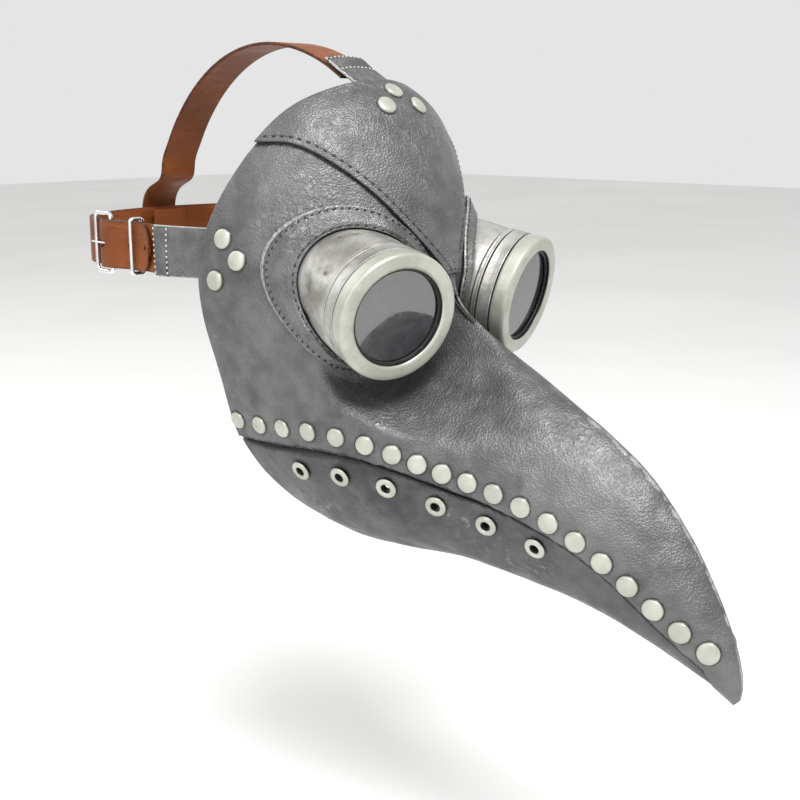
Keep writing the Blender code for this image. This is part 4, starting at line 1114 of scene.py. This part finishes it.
def conforming_grid(rest, rings, sides):
    """Heights of (radius, lift) rings that lie on the shell, as one row for each side."""
    angles = [math.tau * k / sides for k in range(sides)]
    return smooth_round([[rest.height(r, angle, lift) for r, lift in rings(angle)]
                         for angle in angles], 2)


def patch_radius(angle, side):
    """Outer radius of the oval eye patch: widest at the temple, close to the barrel at the nose."""
    outward = math.cos(angle) * side
    upward = math.sin(angle)
    return 38.2 + 2.6 * outward + 1.6 * upward * (1.0 if upward > 0 else 1.9)


def make_patch(name, rest, side, node):
    """Stitched leather ring over the barrel's flange."""
    def rings(angle):
        edge = patch_radius(angle, side)
        lines = [(PATCH_INNER_R, PATCH_RISE), (PATCH_INNER_R, PATCH_RISE + 1.0)]
        for f in PATCH_RINGS:
            radius = PATCH_INNER_R + (edge - PATCH_INNER_R) * f
            climb = (PATCH_RISE - EYE_SEAT) * (1.0 - smooth(FLANGE_R, PATCH_STEP_R, radius))
            puff = math.sin(math.pi * min(max((f - 0.2) / 0.62, 0.0), 1.0))
            press = sum(0.3 * math.exp(-((f - seam) / 0.05) ** 2) for seam in (0.17, 0.83))
            round_off = 0.8 * max(0.0, (f - 0.93) / 0.07) ** 2 + 0.5 * max(0.0, 1.0 - f / 0.05)
            lines.append((radius, EYE_SEAT + PATCH_T + climb + puff - press - round_off))
        return lines + [(edge, EYE_SEAT + 0.5), (edge - 0.2, EYE_SEAT),
                        (PATCH_STEP_R, EYE_SEAT + 0.1), (FLANGE_R + 0.6, PATCH_RISE - 0.3)]

    heights = conforming_grid(rest, rings, PATCH_SIDES)
    points, wear_and_highlight, grime_and_shade = [], [], []
    row_ends = {}
    for k in range(PATCH_SIDES):
        angle = math.tau * k / PATCH_SIDES
        ring = rings(angle)
        for i, (radius, _) in enumerate(ring):
            points.append(polar(rest.place, radius, angle, heights[k][i]))
            # The outer rim is lightened all round: a painted highlight.
            wear_and_highlight.append(0.55 if i in (14, 15, 16) else 0.0)
            # Painted shadow next to the barrel, painted shade along the stitch lines and at the
            # rim's foot, slight dirt elsewhere.
            grime_and_shade.append(0.75 if i < 3 else 0.5 if i in (4, 13) else 0.85 if i > 16 else 0.1)
        for row, i in (("inner", 4), ("outer", 12)):
            row_ends.setdefault(row, []).append(points[-len(ring) + i])
    faces = outward_first(points, ring_faces(PATCH_SIDES, len(ring)))
    make_piece(name, points, faces, [GREY], [node],
               marks={"wear_and_highlight": wear_and_highlight, "grime_and_shade": grime_and_shade})
    normals = [tuple(rest.axis)] * (PATCH_SIDES + 1)
    for (row, path), pitch in zip(row_ends.items(), (INNER_PITCH, OUTER_PITCH)):
        thread_piece(f"{name}_{row}_stitches", stitch_row(path + path[:1], normals, pitch))


def barrel_dents(side):
    """Hammered dents on one barrel: angle, height, half sizes and depth."""
    draw = random.Random(5 if side < 0 else 11)
    dents = []
    for k in range(DENT_COUNT):
        angle = math.tau * (k + draw.uniform(-0.3, 0.3)) / DENT_COUNT
        dents.append((angle, draw.uniform(-40.0, -25.5), draw.uniform(2.0, 3.1),
                      draw.uniform(2.4, 4.0), draw.uniform(0.6, 1.15)))
    return dents


def make_barrel(name, rest, side, node):
    """Hammered tube with its spigot in front and its flange under the patch."""
    sides, steps = BARREL_SIDES, BARREL_STEPS
    dents = barrel_dents(side)
    points, grime_and_shade = [], []
    low_line = smooth_round([rest.height(BARREL_R + 0.3, math.tau * k / sides, FLANGE_TOP + 0.3)
                             for k in range(sides)], 3)
    flange = conforming_grid(rest, lambda angle: ((FLANGE_R, FLANGE_TOP), (FLANGE_R, EYE_SEAT),
                                                  (BARREL_INNER_R, EYE_SEAT)), sides)
    for k in range(sides):
        angle = math.tau * k / sides
        ring = [(SPIGOT_R, SPIGOT_END, 0.0), (SPIGOT_R, SHOULDER + 0.3, 0.9),
                (SPIGOT_R + 0.5, SHOULDER, 0.95), (BARREL_R - 0.35, SHOULDER - 0.15, 0.4),
                (BARREL_R, SHOULDER - 0.6, 0.0)]
        for i in range(1, steps + 1):
            f = i / steps
            z = SHOULDER - 0.6 + (low_line[k] - SHOULDER + 0.6) * f
            radius = BARREL_R + 0.3 * f + 0.35 * math.sin(math.pi * f)
            dirt = 0.9 * max(0.0, (f - 0.88) / 0.12)
            for where, height, wide, tall, depth in dents:
                turn_by = (angle - where + math.pi) % math.tau - math.pi
                bowl = math.exp(-(turn_by * BARREL_R / wide) ** 2 - ((z - height) / tall) ** 2)
                radius -= depth * bowl
                dirt = max(dirt, 0.56 * bowl ** 2)
            ring.append((radius, z, dirt))
        ring += [(FLANGE_R, flange[k][0], 0.9), (FLANGE_R, flange[k][1], 0.9),
                 (BARREL_INNER_R, flange[k][2], 0.6), (BARREL_INNER_R, SPIGOT_END, 0.3)]
        points += [polar(rest.place, radius, angle, z) for radius, z, _ in ring]
        grime_and_shade += [dirt for _, _, dirt in ring]
    faces = outward_first(points, ring_faces(sides, len(ring)))
    make_piece(name, points, faces, [PEWTER], [node], marks={"grime_and_shade": grime_and_shade})


def make_ring(name, front, rear, radius, place, node):
    """A sleeve with a rolled bead at each end and a shallow waist."""
    inner = SPIGOT_R + GAP
    middle = (front + rear) / 2
    profile = ((inner, front), (radius - 0.3, front), (radius, front - 0.5),
               (radius - 0.15, front - 1.0), (radius - 0.3, middle), (radius - 0.15, rear + 1.0),
               (radius, rear + 0.5), (radius - 0.3, rear), (inner, rear))

    def dirt(r, z):
        return 0.8 if r < radius - 0.25 and abs(z - middle) > 1.2 else 0.1

    turned_piece(name, profile, place, PEWTER, [node], sides=128, grime_and_shade=dirt)


def make_eyepiece(side_name, side, face):
    """Every piece of one eyepiece, from the barrel and patch out to the lens."""
    place = eye_place(side)
    rest = Rest(face, place)
    make_barrel("eyepiece_barrel_" + side_name, rest, side, "eye_barrel_" + side_name)
    make_patch("stitched_patch_" + side_name, rest, side, "eye_patch_" + side_name)
    for kind, front, rear, radius in (("collar", COLLAR_FRONT, COLLAR_REAR, COLLAR_R),
                                      ("band", BAND_FRONT, BAND_REAR, BAND_R)):
        make_ring(f"eyepiece_{kind}_{side_name}", front, rear, radius, place,
                  f"eye_{kind}_{side_name}")
    inner = SPIGOT_R + GAP
    bezel = ((OPENING_R, -1.0), (OPENING_R + 0.5, -0.25), (OPENING_R + 1.4, 0.0), (28.9, 0.0),
             (30.4, -0.4), (BEZEL_R, -1.7), (BEZEL_R, -7.6), (31.0, -8.6), (30.0, -8.7),
             (inner, -8.7), (inner, -5.6), (27.9, -5.6), (27.9, -1.7), (OPENING_R, -1.7))
    # Its back face, against the collar, and its lip round the lens carry painted shade.
    turned_piece("eyepiece_bezel_" + side_name, bezel, place, SILVER,
                 ["eye_bezel_" + side_name], sides=144, radius=0.6,
                 grime_and_shade=lambda r, z: 0.85 if z < -8.4 or r < OPENING_R + 0.15 else 0.0)
    gasket = ((22.5, -2.1), (27.5, -2.0), (27.5, -3.1), (22.5, -3.1))
    turned_piece("lens_seal_" + side_name, gasket, place, RUBBER,
                 ["lens_gasket_" + side_name])
    crown = [(27.4 * math.sin(math.radians(a)), -3.4 + 0.25 * math.cos(math.radians(a)) - 0.25)
             for a in (3, 10, 20, 30, 45, 60, 75, 85, 90)]
    points, faces = disc(place, crown + [(27.4, -5.5), (15.0, -5.5), (3.0, -5.5)], 96)
    make_piece("lens_disc_" + side_name, points, outward_first(points, faces), [GLASS],
               ["lens_" + side_name], sharp=50)


# ---------------------------------------------------------------- tabs and straps

def side_axes(side):
    """Start, rearward direction and outward direction of the straight side stretch."""
    start = Vector((side * SIDE_START[0], SIDE_START[1], STRAP_Z))
    rear = Vector((side * SIDE_REAR[0], SIDE_REAR[1], STRAP_Z))
    along = (rear - start).normalized()
    outward = Vector((side * abs(along.y), abs(along.x), 0.0)).normalized()
    return start, along, outward


def side_point(side, u, w):
    """Point on the side strap: u rearwards from the tab, w outwards from the inner face."""
    start, along, outward = side_axes(side)
    return start + along * u + outward * w


def head_arc(angle, lift):
    """Point and outward normal on the midline over the crown; angle 0 is the forehead."""
    length = CROWN_FRONT if angle < math.pi / 2 else BACK_Y - 1.0
    y, z = -length * math.cos(angle), CROWN_HEIGHT * math.sin(angle)
    normal = Vector((0.0, y / length ** 2, z / CROWN_HEIGHT ** 2)).normalized()
    return Vector((0.0, y, z)) + normal * lift, normal


def strap_section(half, thickness):
    """Points round a strap's section: across, then through, with soft corners."""
    outline = rounded(((-half, 0.0), (half, 0.0), (half, thickness), (-half, thickness)), 0.75, 3)
    dense = []
    for (a, b), (c, d) in zip(outline, outline[1:] + outline[:1]):
        dense.append((a, b))
        if abs(c - a) > 2.0:
            dense += [(a + (c - a) * k / 12, b + (d - b) * k / 12) for k in range(1, 12)]
    return dense


def edge_dirt(offset, half):
    """How dark a strap is at a distance from its middle line."""
    return 0.6 * max(0.0, (abs(offset) / half - 0.86) / 0.14)


def strap_piece(name, node, points, grime_and_shade, rows):
    """A strap from the points of its sections, with closed ends."""
    sides = len(points) // rows
    faces = ring_faces(rows, sides, looped=False) + end_caps(rows, sides)
    return make_piece(name, points, outward_first(points, faces), [BROWN],
                      [node], marks={"grime_and_shade": grime_and_shade}, sharp=60)


def make_strap(name, path, across, halves, node):
    """A leather strap along a smoothed path of (point, normal) pairs."""
    across = Vector(across)
    rows = np.array([[tuple(point), tuple(normal)] for point, normal in path])
    knots = path_lengths(rows[:, 0])
    count = int(knots[-1] / STRAP_STEP) + 2
    fine = spline_rows(rows, count)
    widths = np.interp(np.linspace(0.0, knots[-1], count), knots, halves)
    points, grime_and_shade = [], []
    for row, half in zip(fine, widths):
        base, normal = Vector(row[0]), Vector(row[1]).normalized()
        for a, b in strap_section(half, STRAP_T):
            points.append(base + across * a + normal * b)
            grime_and_shade.append(edge_dirt(a, half))
    return strap_piece(name, node, points, grime_and_shade, count)


def cut_holes(item, cutters):
    """Cut plain pins and slots out of a piece, keeping its marks."""
    points, faces = join(cutters)
    mesh = bpy.data.meshes.new("pins")
    mesh.from_pydata([tuple(Vector(p) * MM) for p in points], [], [tuple(f) for f in faces])
    pins = bpy.data.objects.new("pins", mesh)
    bpy.context.collection.objects.link(pins)
    modifier = item.modifiers.new("holes", "BOOLEAN")
    modifier.operation = "DIFFERENCE"
    modifier.object = pins
    bpy.context.view_layer.update()
    evaluated = item.evaluated_get(bpy.context.evaluated_depsgraph_get())
    made = bpy.data.meshes.new_from_object(evaluated)
    item.modifiers.remove(modifier)
    item.data = made
    bpy.data.objects.remove(pins, do_unlink=True)


def pin(place, radius, low, high, sides=14, stretch=1.0):
    """Points and faces of a plain pin along local Z."""
    angles = [math.tau * k / sides for k in range(sides)]
    points = [place @ Vector((radius * stretch * math.cos(angle), radius * math.sin(angle), z))
              for z in (low, high) for angle in angles]
    faces = ring_faces(2, sides, looped=False) + end_caps(2, sides)
    return points, outward_first(points, faces)


def make_side_strap(side_name, side):
    """Short strap from the tab, folded round the buckle's heel bar and sewn to itself."""
    outward = side_axes(side)[2]
    strap = make_fold("tab_strap_" + side_name, side, "side_strap_" + side_name)
    slot = frame_at(side_point(side, HEEL_U + 1.3, HEEL_W), outward, UP)
    cut_holes(strap, [pin(slot, SLOT_HALF, -6.0, 6.0, 16, 1.9)])


def fold_line(radius, low, back):
    """One face of the side strap: out to the heel bar, round it and back, as (u, w) points."""
    line = [(u, low) for u in np.linspace(-6.0, HEEL_U, 34)]
    for k in range(1, 18):
        angle = math.radians(-90.0 + 10.0 * k)
        line.append((HEEL_U + radius * math.cos(angle), HEEL_W + radius * math.sin(angle)))
    top = HEEL_W + radius
    for f in (0.0, 0.25, 0.5, 0.75, 1.0):
        line.append((HEEL_U - 6.0 * f, top + (back - top) * float(smooth(0.0, 1.0, f))))
    return line + [(HEEL_U - 8.5, back), (HEEL_U - 11.0, back)]


def make_fold(name, side, node):
    """The folded strap between its two faces, with crowned long edges."""
    outline = fold_line(HEEL_W, 0.0, LAYER_W + STRAP_T)
    inner = fold_line(HEEL_W - STRAP_T, STRAP_T, LAYER_W)
    half = STRAP_W / 2
    section = strap_section(half, 1.0)
    points, grime_and_shade = [], []
    for (u1, w1), (u2, w2) in zip(outline, inner):
        low, high = side_point(side, u1, w1), side_point(side, u2, w2)
        points += [low + (high - low) * f + Vector((0.0, 0.0, z)) for z, f in section]
        grime_and_shade += [edge_dirt(z, half) for z, _ in section]
    return strap_piece(name, node, points, grime_and_shade, len(outline))


def rear_path():
    """Path and half widths of the long strap, from one pointed end to the other."""
    rest = LAYER_W
    over = 2 * HEEL_W + GAP
    plan = ((5.0, rest + 2.2), (9.0, rest + 0.6), (13.0, rest), (KEEPER_U, rest), (28.5, rest),
            (33.5, rest + LAYER_W), (HEEL_U - 6.0, over - 0.6), (HEEL_U - 1.0, over),
            (HEEL_U + 3.0, over - 0.4), (HEEL_U + 8.0, over - 3.2), (FAR_U - 4.0, 0.9),
            (FAR_U, 0.2), (FAR_U + 6.0, 0.0))
    right = [(side_point(-1, u, w), side_axes(-1)[2]) for u, w in plan]
    left = [(side_point(1, u, w), side_axes(1)[2]) for u, w in reversed(plan)]
    end = side_point(-1, FAR_U + 6.0, 0.0)
    centre_y = end.y - 4.0
    start_angle = math.atan2((end.y - centre_y) / (BACK_Y - centre_y), 1.0)
    width = abs(end.x) / math.cos(start_angle)
    back = []
    turns = 26
    for k in range(1, turns):
        angle = start_angle + (math.pi - 2 * start_angle) * k / turns
        x, y = -width * math.cos(angle), (BACK_Y - centre_y) * math.sin(angle)
        normal = Vector((x / width ** 2, y / (BACK_Y - centre_y) ** 2, 0.0)).normalized()
        back.append((Vector((x, centre_y + y, STRAP_Z)), normal))
    path = right + back + left
    half = STRAP_W / 2
    taper = [2.0, 8.5]
    return path, taper + [half] * (len(path) - 2 * len(taper)) + taper[::-1]


def make_rear_strap():
    """The long strap round the back of the head, punched along each end."""
    path, halves = rear_path()
    strap = make_strap("head_strap", path, UP, halves, "rear_strap")
    cutters = []
    for side in (-1, 1):
        outward = side_axes(side)[2]
        slot = frame_at(side_point(side, HEEL_U + 5.0, HEEL_W), outward, UP)
        cutters.append(pin(slot, 2.4, -7.0, 9.0, 16, 3.1))
        for u in (PUNCH_FIRST, PUNCH_FIRST + PUNCH_PITCH):
            place = frame_at(side_point(side, u, 0.0), outward, UP)
            cutters.append(pin(place, PUNCH_R, -3.0, 9.0))
    for k in range(3, 8):
        for place in (path[len(path) // 2 - 13 + k], path[len(path) // 2 + 13 - k]):
            point, normal = place
            cutters.append(pin(frame_at(point, normal, UP), PUNCH_R, -3.0, 6.0))
    cut_holes(strap, cutters)


def make_top_strap():
    """Strap over the crown, with a sewn loop round the rear strap at the back."""
    path = []
    for k in range(19):
        angle = TOP_TAB_END - math.radians(7.0) + (math.radians(163.0) - TOP_TAB_END) * k / 18
        path.append(head_arc(angle, -STRAP_T))
    outer_y = BACK_Y + STRAP_T + 2.0
    low, high = STRAP_Z - STRAP_W / 2 - 1.6, STRAP_Z + STRAP_W / 2 + 1.6
    for y, z, normal in ((outer_y, high + 2.5, (0.0, 1.0, 0.2)),
                         (outer_y, low + 1.0, (0.0, 1.0, -0.1)),
                         (outer_y - 0.6, low, (0.0, 0.7, -0.7)),
                         (BACK_Y - 3.0, low, (0.0, -0.7, -0.7)),
                         (BACK_Y - 3.6, low + 1.0, (0.0, -1.0, 0.0)),
                         (BACK_Y - 3.6, high - 3.0, (0.0, -1.0, 0.0))):
        path.append((Vector((0.0, y, z)), Vector(normal).normalized()))
    halves = [CROWN_STRAP_HALF] * len(path)
    make_strap("crown_strap", path, (1.0, 0.0, 0.0), halves, "top_strap")


def tab_grid(stations, columns, ring_of, lift, goals):
    """Outer and inner rows of a tab: along the skin, then across to its free end."""
    outer, inner = [], []
    for station in stations:
        s = np.full(len(columns), station)
        t = np.array([ring_of(station, column) for column in columns])
        outer.append(off_skin(s, t, lift))
        inner.append(off_skin(s, t, lift - TAB_T))
    for goal in goals:
        pairs = [goal(column) for column in columns]
        outer.append([tuple(high) for high, _ in pairs])
        inner.append([tuple(low) for _, low in pairs])
    both = np.stack([np.array(outer, float), np.array(inner, float)], axis=1)
    fine = spline_rows(both.reshape(len(both), -1, 3), TAB_ROWS)
    fine = fine.reshape(TAB_ROWS, 2, len(columns), 3)
    return fine[:, 0], fine[:, 1]


def make_tab(name, stations, ring_of, lift, goals, node, bulge, seams):
    """A grey leather tab with stitched rows across it, at distances from its free end."""
    columns = TAB_W / 2 * np.sin(np.linspace(-math.pi / 2, math.pi / 2, TAB_COLUMNS))
    outer, inner = tab_grid(stations, columns, ring_of, lift, goals)
    along = run_lengths(outer, 0)
    far = border_distance(outer, "both")
    normal = outer - inner
    normal /= np.linalg.norm(normal, axis=2, keepdims=True)
    total = along[-1:, :]
    raised = bulge * np.exp(-((total - along - 6.0) / 5.0) ** 2) * smooth(0.0, 4.0, far)
    drop = edge_drop(far, TAB_T)
    pressed = np.zeros(outer.shape[:2])
    for spot in seams:
        pressed = np.maximum(pressed, np.exp(-((total - along - spot) / 0.7) ** 2))
    outer = outer + normal * (raised - drop - 0.35 * pressed)[..., None]
    inner = inner + normal * drop[..., None]
    wear_and_highlight = 0.75 * np.exp(-(np.minimum(total - along, far) / 0.9) ** 2)
    # Painted shade along the pressed stitch lines.
    grime_and_shade = 0.75 * pressed
    points, faces, paint = shell(outer, inner)
    make_piece(name, points, faces, [GREY, LINING], [node], face_paint=paint,
               marks=shell_marks(wear_and_highlight, grime_and_shade, 1.0))
    parts = []
    for spot in seams:
        row = int(np.argmin(np.abs(total[0, 0] - along[:, 0] - spot)))
        parts += stitch_row(outer[row, 3:-3], normal[row, 3:-3], TAB_PITCH)
    thread_piece(name + "_stitches", parts, PALE_THREAD)


def make_side_tab(side_name, side):
    """The tab from inside the temple out over the side strap."""
    start, along, outward = side_axes(side)

    def ring_of(station, offset):
        return -side * ring_at_height(station, STRAP_Z + offset)

    def goal_at(u):
        def goal(offset):
            low = start + along * u + Vector((0.0, 0.0, offset)) + outward * LAYER_W
            return low + outward * TAB_T, low
        return goal

    make_tab("side_tab_" + side_name, np.linspace(1.45, 0.0, 5), ring_of, -FACE_T - GAP,
             [goal_at(-7.0), goal_at(2.0)], "strap_tab_" + side_name, 0.9, (2.6, 11.0))


def make_top_tab():
    """The tab from the brow back over the crown strap."""
    def ring_of(station, x):
        t = np.linspace(0.0, 1.5, 60)
        found = float(np.interp(abs(x), -skin(np.full_like(t, station), t)[:, 0], t))
        return found if x < 0 else -found

    def goal_at(angle, lift):
        def goal(x):
            low, normal = head_arc(angle, lift)
            across = Vector((x, 0.0, -TAB_CROWN * x * x))
            return low + across + normal * TAB_T, low + across
        return goal

    goals = [goal_at(math.radians(60.0), 1.6), goal_at(TOP_TAB_END, 2.2)]
    make_tab("crown_tab", np.linspace(1.75, 0.05, 6), ring_of, -0.25, goals, "strap_tab_top",
             1.4, (3.0, 12.0))


# ---------------------------------------------------------------- buckles

def wire_loop(name, outline, radius, body, node):
    """A closed loop of bright wire through evenly spaced points."""
    count = len(outline)
    closed = np.array([tuple(point) for point in outline], float)
    spots = np.linspace(0.0, count, LOOP_STEPS, endpoint=False)
    points, faces = sweep(weights(spots, closed_matrix(count), True) @ closed, radius, 16)
    make_piece(name, points, outward_first(points, faces), [STEEL], [node], body)


def rounded_rectangle(a_low, a_high, b_low, b_high, corner, steps=4):
    """Points round a rectangle: along each straight side, and round each corner."""
    points = []
    for ca, cb, start in ((a_high, b_high, 0), (a_low, b_high, 90), (a_low, b_low, 180),
                          (a_high, b_low, 270)):
        middle_a = ca - math.copysign(corner, ca - (a_low + a_high) / 2)
        middle_b = cb - math.copysign(corner, cb - (b_low + b_high) / 2)
        for step in range(steps + 1):
            angle = math.radians(start + 90.0 * step / steps)
            points.append((middle_a + corner * math.cos(angle),
                           middle_b + corner * math.sin(angle)))
    full = []
    for first, last in zip(points, points[1:] + points[:1]):
        full.append(first)
        gap = math.dist(first, last)
        pieces = int(gap / 2.5)
        for k in range(1, pieces):
            f = k / pieces
            full.append((first[0] + (last[0] - first[0]) * f, first[1] + (last[1] - first[1]) * f))
    return full


def make_buckle(side_name, side):
    """The wire frame, its prong and the keeper, each on its own body."""
    outline = []
    for u, z in rounded_rectangle(HEEL_U, FAR_U, -FRAME_HALF, FRAME_HALF, 2.4):
        lift = HEEL_W + (FAR_W - HEEL_W) * (u - HEEL_U) / (FAR_U - HEEL_U)
        outline.append(side_point(side, u, lift) + Vector((0.0, 0.0, z)))
    wire_loop("wire_frame_" + side_name, outline, BAR_R, "frame_" + side_name,
              "buckle_frame_" + side_name)
    make_prong(side_name, side)
    low = -WIRE_R - KEEPER_CLEAR
    high = LAYER_W + STRAP_T + KEEPER_CLEAR + 0.1 + WIRE_R
    half = STRAP_W / 2 + KEEPER_CLEAR + 0.1 + WIRE_R
    outline = [side_point(side, KEEPER_U, w) + Vector((0.0, 0.0, z))
               for w, z in rounded_rectangle(low, high, -half, half, 1.6)]
    wire_loop("wire_keeper_" + side_name, outline, WIRE_R, "keeper_" + side_name,
              "strap_keeper_" + side_name)


def make_prong(side_name, side):
    """A wire tongue curled round the heel bar and lying over the far bar."""
    curl = BAR_R + 0.25 + PRONG_T / 2
    tongue = FAR_W + BAR_R + GAP + PRONG_T / 2 - HEEL_W
    path = []
    for k in reversed(range(CURL_STEPS + 1)):
        angle = math.radians(60.0) - math.radians(300.0) * k / CURL_STEPS
        path.append((curl * math.cos(angle), curl * math.sin(angle)))
    path += [(2.2, tongue * 0.9), (4.2, tongue), (FAR_U - HEEL_U - 3.0, tongue),
             (FAR_U - HEEL_U + 2.4, tongue - 0.1)]
    spine = [side_point(side, HEEL_U + u, HEEL_W + w) for u, w in path]
    fine = spline_rows([[tuple(point)] for point in spine], PRONG_STEPS)[:, 0]
    points, faces = sweep(fine, PRONG_T / 2, 12, closed=False)
    make_piece("wire_prong_" + side_name, points, outward_first(points, faces), [STEEL],
               ["buckle_prong_" + side_name], "prong_" + side_name)


def make_brow_stitches():
    """The brow panel's two long rows and the short one across the bridge."""
    for side_name, side in SIDES:
        stations = np.linspace(RIM_END, BROW_STITCH_END, 120)
        ring = brow_edge(stations)
        edge = off_skin(stations, side * -ring, GAP + BROW_T)
        inward = off_skin(stations, side * -(ring - 0.02), GAP + BROW_T) - edge
        inward /= np.linalg.norm(inward, axis=1, keepdims=True)
        thread_piece("brow_stitches_" + side_name,
                     stitch_row(edge + inward * STITCH_IN, skin_normal(stations, side * -ring),
                                BROW_PITCH))
    ring = np.linspace(-0.17, 0.17, 12)
    stations = np.full_like(ring, BROW_END - 0.07)
    thread_piece("bridge_stitches", stitch_row(off_skin(stations, ring, GAP + BROW_T),
                                               skin_normal(stations, ring), BRIDGE_PITCH))


# ---------------------------------------------------------------- assembly

def rivet_spots(side):
    """Stations and ring positions of one side tab's studs."""
    return [(station, -side * ring_at_height(station, z)) for station, z in SIDE_RIVETS]


def points_of(places):
    """Points of the skin at (station, ring position) pairs."""
    return [off_skin(np.array([s]), np.array([t]), 0.0)[0] for s, t in places]


def both_sides(spots):
    """The same row of (station, ring position) on each side, from the right side's."""
    return {name: [(s, t if side < 0 else 2 * KEEL - t) for s, t in spots] for name, side in SIDES}


eyelets = both_sides(even_stations(EYELET_FIRST, EYELET_LAST, EYELET_COUNT, EYELET_BELOW_SEAM))
studs = both_sides(even_stations(STUD_FIRST, STUD_LAST, STUD_COUNT, -STUD_ABOVE_SEAM, STUD_SPREAD))
rivets = {name: rivet_spots(side) for name, side in SIDES}
face_grid = make_face_panel(points_of(studs["right"] + studs["left"] + rivets["right"]
                                      + rivets["left"]))
jaw = make_jaw_panel(points_of(eyelets["right"] + eyelets["left"]))
cut_holes(jaw, [pin(skin_place(s, t, EYELET_SEAT), EYELET_HOLE_R + EYELET_PLAY,
                    -EYELET_DEPTH, EYELET_DEPTH)
                for s, t in eyelets["right"] + eyelets["left"]])
make_brow_panel(points_of(TOP_RIVETS))

for side_name, side in SIDES:
    make_eyepiece(side_name, side, face_grid)
    make_side_tab(side_name, side)
    make_side_strap(side_name, side)
    make_buckle(side_name, side)
    for number, (s, t) in enumerate(studs[side_name], 1):
        size = STUD_SMALL + (STUD_LARGE - STUD_SMALL) * (number - 1) / (STUD_COUNT - 1)
        make_dome_piece(f"seam_stud_{side_name}_{number}", skin_place(s, t, -0.05), size / 2,
                        STUD_RISE)
    for number, (s, t) in enumerate(rivets[side_name], 1):
        make_dome_piece(f"tab_stud_{side_name}_{number}", skin_place(s, t, 0.0), RIVET_R,
                        RIVET_RISE, [f"tab_rivet_{side_name}_{number}"])
    for number, (s, t) in enumerate(eyelets[side_name], 1):
        make_eyelet(f"ring_eyelet_{side_name}_{number}", skin_place(s, t, EYELET_SEAT),
                    JAW_T + EYELET_SEAT + 1.3, f"jaw_eyelet_{side_name}_{number}")
make_top_tab()
for number, (s, t) in enumerate(TOP_RIVETS, 1):
    make_dome_piece(f"crown_stud_{number}", skin_place(s, t, GAP + BROW_T), RIVET_R,
                    RIVET_RISE, [f"tab_rivet_top_{number}"])
make_rear_strap()
make_top_strap()

make_brow_stitches()


# ---------------------------------------------------------------- stage

def make_floor():
    low = CAD_BOX[0].z / MM - FLOOR_DROP
    mesh = bpy.data.meshes.new("floor")
    corners = [(x * FLOOR_REACH, y * FLOOR_REACH) for x, y in ((-1, -1), (1, -1), (1, 1), (-1, 1))]
    mesh.from_pydata([(x * MM, y * MM, low * MM) for x, y in corners], [], [(0, 1, 2, 3)])
    paint = Paint("pale_floor", roughness=0.85)
    tone = paint.ramp(paint.noise(2.0, 3.0), 0.3, 0.7)
    mesh.materials.append(paint.finish(paint.mix(tone, (0.8, 0.8, 0.79), (0.84, 0.84, 0.83))))
    item = bpy.data.objects.new("floor", mesh)
    bpy.context.collection.objects.link(item)


def make_light(name, place, size, power):
    data = bpy.data.lights.new(name, "AREA")
    data.shape = "RECTANGLE"
    data.size, data.size_y = size
    data.energy = power
    item = bpy.data.objects.new(name, data)
    item.location = place
    aim = Vector(LIGHT_TARGET) - Vector(place)
    item.rotation_euler = aim.to_track_quat("-Z", "Y").to_euler()
    bpy.context.collection.objects.link(item)


def make_camera():
    azimuth, elevation = math.radians(VIEW_AZIMUTH), math.radians(VIEW_ELEVATION)
    back = Vector((-math.sin(azimuth) * math.cos(elevation),
                   -math.cos(azimuth) * math.cos(elevation), math.sin(elevation)))
    data = bpy.data.cameras.new("camera")
    data.lens = VIEW_LENS
    item = bpy.data.objects.new("camera", data)
    item.location = VIEW_FROM
    item.rotation_euler = back.to_track_quat("Z", "Y").to_euler()
    bpy.context.collection.objects.link(item)
    bpy.context.scene.camera = item


make_floor()
make_light("key", (-0.5, -0.9, 1.5), (0.8, 0.6), 40.0)
make_light("fill", (-1.6, -0.3, 0.6), (1.0, 1.4), 9.0)
make_light("rim", (-0.6, 1.5, 1.1), (1.2, 1.0), 7.0)
make_camera()

world = bpy.data.worlds.new("studio")
world.use_nodes = True
background = world.node_tree.nodes["Background"]
background.inputs["Color"].default_value = (1.0, 1.0, 1.0, 1.0)
background.inputs["Strength"].default_value = WORLD_STRENGTH
bpy.context.scene.world = world
bpy.context.scene.view_settings.view_transform = "Standard"
